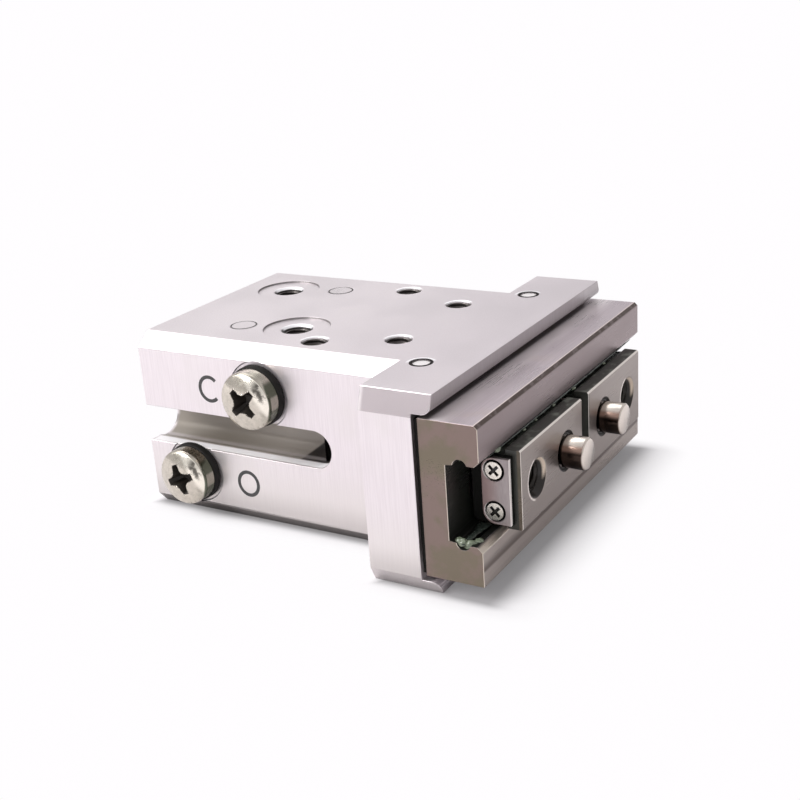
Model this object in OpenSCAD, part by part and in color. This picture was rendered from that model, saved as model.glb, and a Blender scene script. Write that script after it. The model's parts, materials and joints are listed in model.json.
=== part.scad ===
// Low-profile pneumatic parallel gripper with a linear guide.
// X runs from the cylinder's rear face to the jaws, Y along the guide, Z up.
// The origin is the middle of the underside of the whole part's box.
// "Right" is the port side (-Y), "left" is the plain side (+Y), seen from the rear.
// The jaws are drawn closed, so the piston is at the rear end of its stroke.

/* [Housing] */
// Length of the cylinder body, from the rear face to the T-shaped head
body_length = 28.7; // [28.2:0.1:32]
// Width of the cylinder body
body_width = 25.4; // [25:0.1:27]
// Height of the housing
body_height = 18; // [17.8:0.1:20]
// Length of the T-shaped head in front of the body
head_length = 5.1; // [5:0.1:6.5]
// Width of the T-shaped head
head_width = 36.8; // [36.4:0.1:40]
// Width and height of the chamfer along the top edges of the body
top_chamfer = [1.7, 1.3]; // [1:0.1:1.8]
// Width and height of the chamfer along the bottom edges of the body
bottom_chamfer = [1.0, 1.2]; // [0.6:0.1:1.2]
// Width and height of the steep bevel along the top ends of the head
top_bevel = [0.7, 2.0]; // [0.4:0.1:1]
// Width and height of the bevel along the bottom ends of the head
bottom_bevel = [0.65, 1.4]; // [0.4:0.05:0.8]
// How far the top and bottom lips reach over the guide rail
lip_length = 1.7; // [1.2:0.1:2.2]
// Thickness of the top lip
top_lip = 1.7; // [1.4:0.05:1.75]
// Thickness of the bottom lip
bottom_lip = 1.15; // [0.9:0.05:1.2]
// Radius on the inner front edge of the lips
lip_radius = 0.8; // [0.4:0.1:1]
// Height of the sensor slot's mouth
slot_height = 3.7; // [3.4:0.1:3.8]
// Length of each sensor slot, from the rear face
slot_length = 21.7; // [18:0.1:22]

/* [Cylinder] */
// Bore of the cylinder
bore_d = 12; // [11.6:0.1:12.4]
// Depth of the cylinder bore from the rear face
bore_depth = 18.4; // [18.2:0.1:18.6]
// Length of the piston without its rear boss
piston_length = 4.3; // [4:0.1:4.4]
// Diameter of the piston rod
rod_d = 4; // [3.6:0.1:4.4]

/* [Jaws] */
// Travel of each jaw from closed to open
jaw_stroke = 3; // [2:0.1:3.1]
// Length of each carriage block along the guide
carriage_length = 13; // [12.8:0.1:13.2]
// Diameter of the locating pin in each carriage
finger_pin_d = 3; // [2.5:0.1:3.2]
// How far the locating pins stand out of the carriages
finger_pin_out = 2.1; // [1.5:0.1:4]
// Distance of the locating pins from the middle, jaws closed
finger_pin_y = 4.45; // [4.2:0.05:4.8]
// Distance of the finger threads from the middle, jaws closed
finger_thread_y = 10.65; // [10.4:0.05:10.8]

/* [Guide] */
// Depth of the guide rail from its back to its front face
rail_depth = 5.5; // [5.3:0.1:6]
// Height of the guide rail
rail_height = 14.4; // [14:0.1:14.5]
// Thickness of the rail's web
web_thickness = 2.4; // [2:0.1:2.5]
// Diameter of the guide's balls
ball_d = 1.2; // [1:0.05:1.2]
// Number of balls in each straight row
balls_in_row = 10; // [6:1:10]
// How far the carriages stand out of the rail's front face
carriage_out = 1.65; // [1.5:0.05:2.4]

/* [Hidden] */
$fn = 48;

eps = 0.01;
over = 1;

// Stations along X, all counted from the rear face of the cylinder
gasket_t = 0.35;
total_length = body_length + head_length + gasket_t + rail_depth + carriage_out + finger_pin_out;
rear_x = -total_length / 2;
head_x = rear_x + body_length;
face_x = head_x + head_length;
lip_x = face_x + lip_length;
rail_x = face_x + gasket_t;
web_x = rail_x + web_thickness;
rail_front_x = rail_x + rail_depth;
carriage_x = web_x + 0.35;
carriage_front_x = rail_front_x + carriage_out;
pin_end_x = carriage_front_x + finger_pin_out;

// Heights
bore_z = body_height / 2;
guide_z = body_height / 2 - 0.25;

// Sensor slots: a mouth with a round-bottomed groove behind it
slot_z = bore_z - 0.15;
slot_flat = 2.35;
slot_groove_d = slot_height + 0.4;

// Ports and top holes, as distances from the rear face and from the middle
open_port_at = 5.35;
close_port_at = 14.1;
port_drop = 4.5;
port_core_d = 2.5;
port_mouth_d = 3.25;
port_depth = 3.2;
port_passage_d = 1.2;
spot_face_d = 6.5;
spot_face_depth = 0.2;
top_port_y = 5.6;
plug_at = [8.6, 11.2];
plug_y = 6.75;
plug_d = 2.5;
plug_depth = 3;
plug_length = 2.6;
mount_at = [18.3, 25.6];
mount_y = [8.8, 5.9];
mount_core_d = 2.5;
mount_depth = 4;
edge_break = 0.2;

// Cylinder parts, as distances from the rear face
ring_groove_at = 0.8;
ring_t = 1;
ring_groove_d = bore_d + 0.8;
cap_at = ring_groove_at + ring_t;
cap_length = 2.7;
cap_end = cap_at + cap_length;
cover_length = 3.2;
cover_at = bore_depth - cover_length;
seal_section = 1;
seal_groove_w = 1.3;
seal_squeeze = 0.02;
rod_gland_w = 1.4;
rod_gland_d = rod_d + 2;
spigot_d = rod_d - 1;
fit = 0.03;
boss_length = 0.6;
boss_d = 8;
passage_d = rod_d + 1.2;

// Levers, turning about the pivot pins; the angles are counted from mid stroke
pivot_at = body_length + 2.1;
pivot_x = rear_x + pivot_at;
pivot_y = 11;
pivot_d = 2;
pin_floor = 1;
outer_arm = carriage_x + 0.5 - pivot_x;
inner_arm = [-3.3, -8.6];
outer_tip_r = 1;
inner_tip_r = 1.1;
hub_r = 1.9;
lever_t = 2;
swing = asin(jaw_stroke / 2 / outer_arm);
inner_r = norm(inner_arm);
inner_a = atan2(inner_arm.y, inner_arm.x);
yoke_closed_x = pivot_x + inner_r * cos(inner_a - swing);
yoke_open_x = pivot_x + inner_r * cos(inner_a + swing);
piston_stroke = yoke_open_x - yoke_closed_x;
closed_tip_y = pivot_y - jaw_stroke / 2;
tip_play = 0.05;

// The piston at the rear end of its stroke
piston_x = rear_x + cap_end + 0.3;
piston_front_x = piston_x + boss_length + piston_length;

// Yoke on the rod's end, with a notch for each lever
yoke_back = 3.6;
yoke_ahead = 2.4;
yoke_half_w = 3.5;
yoke_half_h = 2.8;
yoke_x = yoke_closed_x - yoke_back;
notch_w = 2 * inner_tip_r + 0.3;
notch_floor = 0.6;
yoke_socket = yoke_back - notch_w / 2 - 0.3;
cavity_h = lever_t + 0.7;
slack = 0.4;

// Guide rail, carriages and balls
rail_length = head_width - 0.6;
channel_half = 3.55;
channel_back_half = 3.4;
ball_x = carriage_x + 0.95;
load_z = 3.4;
return_z = 2.05;
race_r = ball_d / 2 + 0.05;
window_h = 2.7;
window_side = 0.35;
core_half = 3.1;
slab_half = 3.65;
slab_x = rail_front_x + 0.2;
plate_t = 0.35;
cap_t = 0.4;
jaw_gap = 0.05;
cap_y = jaw_gap + plate_t;
block_y = cap_y + cap_t;
block_end_y = block_y + carriage_length;
cap_end_y = block_end_y + cap_t;
finger_depth = 2.45;
finger_core_d = 2.5;
finger_mouth_d = 3.6;
finger_shank_d = finger_pin_d - 0.5;
plate_screw_x = ball_x + 1.25;
plate_screw_z = 1.88;
plate_screw_d = 1;
plate_screw_l = 2.2;
plate_hole_d = 1.95;
plate_head_d = 1.55;
plate_head_t = 0.35;
plate_corner_r = 1.15;
rail_screw_y = head_width / 2 - 2.8;
rail_screw_z = rail_height / 2 - 1.85;
rail_screw_d = 2;
rail_head_d = 3.8;
rail_head_t = 2;
rail_thread = 3.2;

// Plug screws
washer_d = 5.9;
washer_t = 0.85;
head_d = 5.6;
head_t = 2.1;

// Sets a cylinder along +X from x, round the line at y and z
module rod_x(x, y, z, l, d) {
    translate([x, y, z]) rotate([0, 90, 0]) cylinder(h = l, d = d);
}

// Sets a cylinder along +Y from y, round the line at x and z
module rod_y(x, y, z, l, d) {
    translate([x, y, z]) rotate([-90, 0, 0]) cylinder(h = l, d = d);
}

// Draws a box from one corner
module block(from, size) {
    translate(from) cube(size);
}

// Pushes an outline of Y and Z along +X, from x over l
module along_x(x, l) {
    translate([x, 0, 0]) rotate([90, 0, 90]) linear_extrude(height = l) children();
}

// Pushes an outline of X and Z along +Y, from y over l
module along_y(y, l) {
    translate([0, y + l, 0]) rotate([90, 0, 0]) linear_extrude(height = l) children();
}

// Turns an outline of radius and X about the line along X at y and z
module turned_x(x, y, z) {
    translate([x, y, z]) rotate([0, 90, 0]) rotate_extrude() children();
}

// Closed outline of a box of width w and height h with cut corners
module cut_corner_outline(w, h, top, bottom) {
    polygon([
        [-w / 2 + bottom.x, 0],
        [w / 2 - bottom.x, 0],
        [w / 2, bottom.y],
        [w / 2, h - top.y],
        [w / 2 - top.x, h],
        [-w / 2 + top.x, h],
        [-w / 2, h - top.y],
        [-w / 2, bottom.y]
    ]);
}

// Puts a shape at both sides of the middle plane
module both_sides() {
    children();
    mirror([0, 1, 0]) children();
}

// ---- Housing ----

// One lip seen from its end, with its inner front edge rounded
module lip_outline(t) {
    difference() {
        square([lip_length, t]);
        translate([lip_length - lip_radius, t - lip_radius]) square(lip_radius + eps);
    }
    translate([lip_length - lip_radius, t - lip_radius]) circle(r = lip_radius);
}

// Head seen from its end: a block with two lips that reach over the rail
module head_side_outline() {
    translate([head_x, 0]) square([head_length, body_height]);
    translate([face_x, body_height]) mirror([0, 1]) lip_outline(top_lip);
    translate([face_x, 0]) lip_outline(bottom_lip);
}

module housing_shell() {
    along_x(rear_x, body_length + over) {
        cut_corner_outline(body_width, body_height, top_chamfer, bottom_chamfer);
    }
    intersection() {
        along_y(-head_width / 2, head_width) head_side_outline();
        along_x(head_x, head_length + lip_length) {
            cut_corner_outline(head_width, body_height, top_bevel, bottom_bevel);
        }
    }
}

// Sensor slot in the +Y side
module sensor_slot() {
    groove_y = body_width / 2 - slot_flat;
    mouth_end = rear_x + slot_length - slot_height / 2;
    block([rear_x - over, groove_y, slot_z - slot_height / 2],
          [slot_length - slot_height / 2 + over, slot_flat + over, slot_height]);
    rod_y(mouth_end, groove_y, slot_z, body_width, slot_height);
    rod_x(rear_x - over, groove_y, slot_z, slot_length - slot_height / 2 + over, slot_groove_d);
}

// Countersunk blind hole from the top face
module top_hole(at, y, core_d, mouth_d, depth) {
    sink = (mouth_d - core_d) / 2;
    translate([rear_x + at, y, body_height]) {
        translate([0, 0, -depth]) cylinder(h = depth + over, d = core_d);
        translate([0, 0, -sink]) cylinder(h = sink + eps, d1 = core_d, d2 = mouth_d + 2 * eps);
    }
}

// Air port in the top face, down to the bore
module top_port(at, y) {
    translate([rear_x + at, y, body_height - spot_face_depth]) cylinder(h = over, d = spot_face_d);
    translate([0, 0, -spot_face_depth]) top_hole(at, y, port_core_d, port_mouth_d, port_depth);
    translate([rear_x + at, y, bore_z + bore_d / 8]) {
        cylinder(h = body_height / 2 - bore_d / 8 - over, d = port_passage_d);
    }
}

// Air port in the -Y side, through to the bore
module side_port(at, z) {
    rod_y(rear_x + at, -body_width / 2 - over, z, over + spot_face_depth, spot_face_d);
    rod_y(rear_x + at, -body_width / 2 - over, z, over + port_depth, port_core_d);
    rod_y(rear_x + at, -body_width / 2, z, body_width / 2 - bore_d / 4, port_passage_d);
}

// Space in which one lever swings, on the +Y side
module lever_cavity() {
    wide_y = pivot_y + jaw_stroke / 2 + outer_tip_r + 0.2;
    translate([pivot_x, 0, guide_z - cavity_h / 2]) linear_extrude(height = cavity_h) {
        translate([0, pivot_y]) circle(r = hub_r + 0.25);
        polygon([
            [yoke_closed_x - pivot_x - inner_tip_r - slack, -eps],
            [yoke_closed_x - pivot_x - inner_tip_r - slack, yoke_half_w + 1.4],
            [-1.9, pivot_y + 0.2],
            [0, pivot_y + hub_r + 0.2],
            [0.8, wide_y],
            [face_x - pivot_x + over, wide_y],
            [face_x - pivot_x + over, -eps]
        ]);
    }
}

module rail_screw_way() {
    for (z = [guide_z - rail_screw_z, guide_z + rail_screw_z]) {
        rod_x(head_x - over, rail_screw_y, z, over + rail_head_t + 0.3, rail_head_d + 0.3);
        rod_x(head_x, rail_screw_y, z, head_length + over, rail_screw_d + 0.2);
    }
}

module housing() {
    color([0.84, 0.81, 0.82]) difference() {
        housing_shell();
        rod_x(rear_x - over, 0, bore_z, bore_depth + over, bore_d);
        rod_x(rear_x + ring_groove_at, 0, bore_z, ring_t, ring_groove_d);
        rod_x(rear_x, 0, bore_z, body_length, passage_d);
        block([yoke_x - slack, -yoke_half_w - slack, bore_z - yoke_half_h - slack],
              [face_x - yoke_x + slack + over, 2 * (yoke_half_w + slack), 2 * (yoke_half_h + slack)]);
        both_sides() {
            sensor_slot();
            lever_cavity();
            rail_screw_way();
            translate([pivot_x, pivot_y, pin_floor]) cylinder(h = body_height, d = pivot_d);
            for (i = [0, 1]) {
                top_hole(mount_at[i], mount_y[i], mount_core_d, mount_core_d + edge_break, mount_depth);
            }
        }
        top_hole(plug_at[0], -plug_y, plug_d, plug_d + edge_break, plug_depth);
        top_hole(plug_at[1], plug_y, plug_d, plug_d + edge_break, plug_depth);
        top_port(open_port_at, top_port_y);
        top_port(close_port_at, -top_port_y);
        side_port(open_port_at, bore_z - port_drop);
        side_port(close_port_at, bore_z + port_drop);
    }
}

// Plug pressed into the mouth of a drilled air passage, flush with the top face
module top_plug(at, y) {
    edge = 0.1;
    color([0.84, 0.82, 0.84]) translate([rear_x + at, y, body_height - plug_length]) {
        cylinder(h = plug_length - edge, d = plug_d);
        translate([0, 0, plug_length - edge]) cylinder(h = edge, d1 = plug_d, d2 = plug_d - 2 * edge);
    }
}

module left_top_plug() {
    top_plug(plug_at[1], plug_y);
}

module right_top_plug() {
    top_plug(plug_at[0], -plug_y);
}

// ---- Cylinder ----

// Disc with a ring groove round its middle
module grooved_disc(x, l, d, groove_w) {
    difference() {
        rod_x(x, 0, bore_z, l, d);
        turned_x(x + l / 2, 0, bore_z) {
            translate([bore_d / 2 - seal_section, -groove_w / 2]) square([bore_d, groove_w]);
        }
    }
}

// Ring of round section about the bore's axis
module bore_ring(x) {
    turned_x(x, 0, bore_z) {
        translate([(bore_d - seal_section) / 2, 0]) circle(d = seal_section - seal_squeeze);
    }
}

module end_cap() {
    color([0.66, 0.66, 0.68]) grooved_disc(rear_x + cap_at, cap_length, bore_d - 2 * fit, seal_groove_w);
}

module end_cap_ring() {
    color([0.1, 0.1, 0.1]) bore_ring(rear_x + cap_at + cap_length / 2);
}

// Internal retaining ring with two drilled ears, its gap at the bottom
module retaining_ring() {
    ear_r = 1.25;
    ear_a = 20;
    ear_at = bore_d / 2 - ear_r - 0.2;
    color([0.35, 0.35, 0.37]) translate([rear_x + ring_groove_at, 0, bore_z]) rotate([90, 0, 90]) {
        linear_extrude(height = ring_t) difference() {
            union() {
                difference() {
                    circle(d = ring_groove_d);
                    circle(d = ring_groove_d - 2.2);
                    polygon([[0, 0], bore_d * [sin(-ear_a), -cos(ear_a)], bore_d * [sin(ear_a), -cos(ear_a)]]);
                }
                for (a = [-ear_a - 6, ear_a + 6]) {
                    translate(ear_at * [sin(a), -cos(a)]) circle(r = ear_r);
                }
            }
            for (a = [-ear_a - 6, ear_a + 6]) {
                translate(ear_at * [sin(a), -cos(a)]) circle(r = 0.6);
            }
        }
    }
}

module rod_cover() {
    color([0.7, 0.7, 0.72]) difference() {
        grooved_disc(rear_x + cover_at, cover_length, bore_d - 2 * fit, seal_groove_w);
        rod_x(rear_x + cover_at - over, 0, bore_z, cover_length + 2 * over, rod_d + 2 * fit);
        rod_x(rear_x + cover_at - over, 0, bore_z, over + rod_gland_w, rod_gland_d);
    }
}

module rod_cover_ring() {
    color([0.1, 0.1, 0.1]) bore_ring(rear_x + cover_at + cover_length / 2);
}

module rod_seal() {
    color([0.12, 0.12, 0.12]) difference() {
        rod_x(rear_x + cover_at + 0.1, 0, bore_z, rod_gland_w - 0.1, rod_gland_d);
        rod_x(rear_x + cover_at - over, 0, bore_z, over + cover_length, rod_d + 2 * fit);
    }
}

// Grooves of the piston, counted from its front face
magnet_back = 1.8;
magnet_w = 1.2;
magnet_depth = 1.2;
lip_back = 3.7;
lip_w = 1.3;
lip_depth = 1.1;

module piston() {
    d = bore_d - 0.1;
    color([0.75, 0.75, 0.77]) difference() {
        union() {
            rod_x(piston_x + boss_length, 0, bore_z, piston_length, d);
            rod_x(piston_x, 0, bore_z, boss_length + eps, boss_d);
        }
        rod_x(piston_x - over, 0, bore_z, piston_length + 3 * over, spigot_d);
        piston_groove(piston_front_x - magnet_back, magnet_w, magnet_depth, d + over);
        piston_groove(piston_front_x - lip_back, lip_w, lip_depth, d + over);
    }
}

// Ring round the piston, from x over w, reaching in from the piston's edge
module piston_groove(x, w, depth, outer_d) {
    inner_r = (bore_d - 0.1) / 2 - depth;
    turned_x(x, 0, bore_z) translate([inner_r, 0]) square([outer_d / 2 - inner_r, w]);
}

module magnet_ring() {
    color([0.2, 0.2, 0.22]) piston_groove(piston_front_x - magnet_back, magnet_w, magnet_depth, bore_d - 0.4);
}

module piston_seal() {
    color([0.1, 0.1, 0.1]) piston_groove(piston_front_x - lip_back, lip_w, lip_depth, bore_d - 0.04);
}

module piston_rod() {
    color([0.8, 0.8, 0.82]) {
        rod_x(piston_x, 0, bore_z, piston_front_x - piston_x + eps, spigot_d);
        rod_x(piston_front_x, 0, bore_z, yoke_x - piston_front_x, rod_d);
        rod_x(yoke_x - eps, 0, bore_z, yoke_socket + eps, spigot_d);
    }
}

module rod_yoke() {
    color([0.5, 0.5, 0.52]) difference() {
        block([yoke_x, -yoke_half_w, bore_z - yoke_half_h],
              [yoke_back + yoke_ahead, 2 * yoke_half_w, 2 * yoke_half_h]);
        rod_x(yoke_x - over, 0, bore_z, over + yoke_socket, spigot_d);
        both_sides() {
            block([yoke_closed_x - notch_w / 2, notch_floor, guide_z - lever_t / 2 - 0.2],
                  [notch_w, yoke_half_w, lever_t + 0.4]);
        }
    }
}

// ---- Levers ----

// Straight bar of width w from the origin to a point
module bar(to, w) {
    rotate([0, 0, atan2(to.y, to.x)]) translate([0, -w / 2]) square([norm(to), w]);
}

module left_lever() {
    color([0.55, 0.55, 0.57]) translate([pivot_x, pivot_y, guide_z - lever_t / 2]) rotate([0, 0, -swing]) {
        linear_extrude(height = lever_t) difference() {
            union() {
                circle(r = hub_r);
                bar([outer_arm, 0], 1.6 * outer_tip_r);
                translate([outer_arm, 0]) circle(r = outer_tip_r);
                bar(inner_arm, 1.2 * inner_tip_r);
                translate(inner_arm) circle(r = inner_tip_r);
            }
            circle(d = pivot_d + 2 * fit);
        }
    }
}

module right_lever() {
    mirror([0, 1, 0]) left_lever();
}

// Pivot pin, pressed in from the top; its rounded-off end shows in the top face
module left_pivot_pin() {
    l = body_height - pin_floor - 0.1;
    edge = 0.15;
    color([0.8, 0.8, 0.82]) translate([pivot_x, pivot_y, pin_floor]) rotate_extrude() polygon([
        [0, 0],
        [pivot_d / 2 - edge, 0],
        [pivot_d / 2, edge],
        [pivot_d / 2, l - edge],
        [pivot_d / 2 - edge, l],
        [0, l]
    ]);
}

module right_pivot_pin() {
    mirror([0, 1, 0]) left_pivot_pin();
}

// ---- Guide ----

// Window for the left lever's tip, as an outline of Y and Z
module window_outline() {
    low_y = closed_tip_y - outer_tip_r - window_side;
    translate([low_y, guide_z - window_h / 2]) {
        square([jaw_stroke + 2 * (outer_tip_r + window_side), window_h]);
    }
}

module rail_gasket() {
    color([0.09, 0.09, 0.09]) along_x(face_x, gasket_t) difference() {
        translate([0, guide_z]) square([rail_length - 0.4, rail_height - 0.4], center = true);
        for (side = [0, 1]) {
            mirror([side, 0]) {
                window_outline();
                for (z = [guide_z - rail_screw_z, guide_z + rail_screw_z]) {
                    translate([rail_screw_y, z]) circle(d = rail_screw_d);
                }
            }
        }
    }
}

// Section of the rail: a channel open to the front, with a race in each flange
module rail_outline() {
    edge = 0.3;
    lip_edge = 0.5;
    difference() {
        polygon([
            [0, -rail_height / 2],
            [rail_depth, -rail_height / 2],
            [rail_depth, rail_height / 2 - edge],
            [rail_depth - edge, rail_height / 2],
            [0, rail_height / 2]
        ]);
        polygon([
            [web_thickness, -channel_back_half],
            [ball_x - rail_x, -channel_half],
            [rail_depth + over, -channel_half],
            [rail_depth + over, channel_half],
            [ball_x - rail_x, channel_half],
            [web_thickness, channel_back_half]
        ]);
        for (side = [0, 1]) {
            mirror([0, side]) {
                translate([ball_x - rail_x, load_z]) circle(r = race_r);
                polygon([
                    [rail_depth - lip_edge, channel_half - eps],
                    [rail_depth + eps, channel_half - eps],
                    [rail_depth + eps, channel_half + lip_edge]
                ]);
            }
        }
    }
}

module guide_rail() {
    color([0.6, 0.57, 0.56]) difference() {
        translate([rail_x, 0, guide_z]) along_y(-rail_length / 2, rail_length) rail_outline();
        both_sides() {
            along_x(rail_x - over, web_thickness + 2 * over) window_outline();
            for (z = [guide_z - rail_screw_z, guide_z + rail_screw_z]) {
                rod_x(rail_x - over, rail_screw_y, z, over + rail_thread, rail_screw_d);
            }
        }
    }
}

// Socket-head screws that hold the rail, put in from behind the head's wings
module rail_screws() {
    head_end = head_x + rail_head_t + 0.3;
    color([0.3, 0.3, 0.32]) both_sides() for (z = [guide_z - rail_screw_z, guide_z + rail_screw_z]) {
        difference() {
            union() {
                rod_x(head_end - rail_head_t, rail_screw_y, z, rail_head_t, rail_head_d);
                rod_x(head_end - eps, rail_screw_y, z, rail_x + rail_thread - head_end, rail_screw_d);
            }
            translate([head_end - rail_head_t - eps, rail_screw_y, z]) rotate([0, 90, 0]) {
                cylinder(h = rail_head_t / 2, d = 1.75, $fn = 6);
            }
        }
    }
}

// ---- Carriages ----

// Section of a carriage block: a core between the races and a wider front slab
module carriage_outline() {
    edge = 0.15;
    front = carriage_front_x - carriage_x;
    slab = slab_x - carriage_x;
    difference() {
        union() {
            translate([0, -core_half]) square([front - edge, 2 * core_half]);
            polygon([
                [slab, -slab_half],
                [front - edge, -slab_half],
                [front, -slab_half + edge],
                [front, slab_half - edge],
                [front - edge, slab_half],
                [slab, slab_half]
            ]);
        }
        for (z = [-load_z, -return_z, return_z, load_z]) {
            translate([ball_x - carriage_x, z]) circle(r = race_r);
        }
    }
}

module left_carriage() {
    sink = (finger_mouth_d - finger_core_d) / 2;
    pin_sink = 0.4;
    tip = outer_tip_r + tip_play;
    color([0.58, 0.55, 0.54]) difference() {
        translate([carriage_x, 0, guide_z]) along_y(block_y, carriage_length) carriage_outline();
        block([carriage_x - over, closed_tip_y - tip, guide_z - lever_t / 2 - 0.15],
              [over + 0.5 + outer_tip_r + 0.15, 2 * tip, lever_t + 0.3]);
        rod_x(carriage_front_x - finger_depth, finger_thread_y, guide_z, finger_depth + over, finger_core_d);
        translate([carriage_front_x - sink, finger_thread_y, guide_z]) rotate([0, 90, 0]) {
            cylinder(h = sink + eps, d1 = finger_core_d, d2 = finger_mouth_d + 2 * eps);
        }
        rod_x(carriage_front_x - finger_depth, finger_pin_y, guide_z, finger_depth + over, finger_shank_d);
        translate([carriage_front_x - pin_sink, finger_pin_y, guide_z]) rotate([0, 90, 0]) {
            cylinder(h = pin_sink + eps, d1 = finger_pin_d, d2 = finger_pin_d + 2 * (pin_sink + eps));
        }
        for (z = [guide_z - plate_screw_z, guide_z + plate_screw_z]) {
            rod_y(plate_screw_x, block_y - over, z, over + plate_screw_l, plate_screw_d);
            rod_y(plate_screw_x, block_end_y - plate_screw_l, z, over + plate_screw_l, plate_screw_d);
        }
    }
}

module right_carriage() {
    mirror([0, 1, 0]) left_carriage();
}

// Outline of an end cap or plate in X and Z, with its rear corners rounded
module end_outline(from_x, corner_z, corner_r) {
    half = corner_z + corner_r;
    translate([from_x + corner_r, -half]) {
        square([slab_x + 0.7 - from_x - corner_r, 2 * half]);
    }
    translate([from_x, -corner_z]) square([2 * corner_r, 2 * corner_z]);
    for (z = [-corner_z, corner_z]) {
        translate([from_x + corner_r, z]) circle(r = corner_r);
    }
}

// Resin cap that turns the balls round at one end of a block
module end_cap_of_block(y) {
    corner_r = 0.6;
    color([0.08, 0.08, 0.08]) difference() {
        translate([0, 0, guide_z]) along_y(y, cap_t) {
            end_outline(carriage_x, core_half - corner_r, corner_r);
        }
        for (z = [guide_z - plate_screw_z, guide_z + plate_screw_z]) {
            rod_y(plate_screw_x, y - over, z, cap_t + 2 * over, plate_screw_d);
        }
    }
}

module left_outer_cap() {
    end_cap_of_block(block_end_y);
}

module right_outer_cap() {
    mirror([0, 1, 0]) left_outer_cap();
}

module left_inner_cap() {
    end_cap_of_block(cap_y);
}

module right_inner_cap() {
    mirror([0, 1, 0]) left_inner_cap();
}

// Thin steel plate over a resin cap; the screw heads sit in its holes
module end_plate(y) {
    color([0.62, 0.6, 0.6]) difference() {
        translate([0, 0, guide_z]) along_y(y, plate_t) {
            end_outline(plate_screw_x - plate_corner_r, plate_screw_z, plate_corner_r);
        }
        for (z = [guide_z - plate_screw_z, guide_z + plate_screw_z]) {
            rod_y(plate_screw_x, y - over, z, plate_t + 2 * over, plate_hole_d);
        }
    }
}

module left_outer_plate() {
    end_plate(cap_end_y);
}

module right_outer_plate() {
    mirror([0, 1, 0]) left_outer_plate();
}

module left_inner_plate() {
    end_plate(jaw_gap);
}

module right_inner_plate() {
    mirror([0, 1, 0]) left_inner_plate();
}

// Screw along Y with a flat head that bears on the cap and a crossed recess; dir is the way it faces
module plate_screw(y, z, dir) {
    translate([plate_screw_x, y, z]) rotate([dir > 0 ? 90 : -90, 0, 0]) difference() {
        union() {
            translate([0, 0, -plate_head_t]) cylinder(h = plate_head_t, d = plate_head_d);
            translate([0, 0, -eps]) cylinder(h = cap_t + plate_screw_l - 0.1, d = plate_screw_d);
        }
        for (a = [45, 135]) {
            rotate([0, 0, a]) translate([0, 0, -plate_head_t]) cube([1.15, 0.28, 0.4], center = true);
        }
    }
}

module left_plate_screws() {
    color([0.78, 0.76, 0.72]) for (z = [guide_z - plate_screw_z, guide_z + plate_screw_z]) {
        plate_screw(cap_end_y, z, 1);
        plate_screw(cap_y, z, -1);
    }
}

module right_plate_screws() {
    mirror([0, 1, 0]) left_plate_screws();
}

module left_balls() {
    pitch = carriage_length / balls_in_row;
    color([0.85, 0.85, 0.87]) for (z = [-load_z, -return_z, return_z, load_z]) {
        for (i = [0 : balls_in_row - 1]) {
            translate([ball_x, block_y + pitch * (i + 0.5), guide_z + z]) sphere(d = ball_d);
        }
    }
}

module right_balls() {
    mirror([0, 1, 0]) left_balls();
}

module left_finger_pin() {
    edge = 0.15;
    l = finger_depth + finger_pin_out;
    r = finger_pin_d / 2;
    shank_r = finger_shank_d / 2;
    color([0.86, 0.82, 0.78]) turned_x(carriage_front_x - finger_depth, finger_pin_y, guide_z) {
        polygon([
            [0, 0],
            [shank_r, 0],
            [shank_r, finger_depth],
            [r, finger_depth],
            [r, l - edge],
            [r - edge, l],
            [0, l]
        ]);
    }
}

module right_finger_pin() {
    mirror([0, 1, 0]) left_finger_pin();
}

// ---- Port plugs ----

// Pan-head screw in the -Y side, over its washer; the head has a low crown and a round shoulder
module port_screw(at, z) {
    wall_y = -body_width / 2 + spot_face_depth;
    shank = port_depth - spot_face_depth - 0.2;
    crown_r = 6;
    shoulder_r = 3.05;
    color([0.85, 0.83, 0.8]) translate([rear_x + at, wall_y - washer_t, z]) rotate([90, 0, 0]) {
        translate([0, 0, -washer_t - shank]) cylinder(h = washer_t + shank + eps, d = port_core_d);
        difference() {
            intersection() {
                cylinder(h = head_t, d = head_d);
                translate([0, 0, head_t - crown_r]) sphere(r = crown_r);
                sphere(r = shoulder_r);
            }
            for (a = [45, 135]) {
                rotate([0, 0, a]) translate([0, 0, head_t]) cube([3.1, 0.6, 2.2], center = true);
            }
            translate([0, 0, head_t - 1.5]) cylinder(h = over + 1.5, d1 = 0.8, d2 = 2.2);
        }
    }
}

module port_washer(at, z) {
    wall_y = -body_width / 2 + spot_face_depth;
    color([0.08, 0.08, 0.08]) difference() {
        rod_y(rear_x + at, wall_y - washer_t, z, washer_t, washer_d);
        rod_y(rear_x + at, wall_y - washer_t - over, z, washer_t + 2 * over, port_core_d);
    }
}

module close_port_screw() {
    port_screw(close_port_at, bore_z + port_drop);
}

module open_port_screw() {
    port_screw(open_port_at, bore_z - port_drop);
}

module close_port_washer() {
    port_washer(close_port_at, bore_z + port_drop);
}

module open_port_washer() {
    port_washer(open_port_at, bore_z - port_drop);
}

housing();
left_top_plug();
right_top_plug();
end_cap();
end_cap_ring();
retaining_ring();
rod_cover();
rod_cover_ring();
rod_seal();
piston();
piston_seal();
magnet_ring();
piston_rod();
rod_yoke();
left_lever();
right_lever();
left_pivot_pin();
right_pivot_pin();
rail_gasket();
guide_rail();
rail_screws();
left_carriage();
right_carriage();
left_outer_cap();
right_outer_cap();
left_inner_cap();
right_inner_cap();
left_outer_plate();
right_outer_plate();
left_inner_plate();
right_inner_plate();
left_plate_screws();
right_plate_screws();
left_balls();
right_balls();
left_finger_pin();
right_finger_pin();
close_port_screw();
open_port_screw();
close_port_washer();
open_port_washer();
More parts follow.
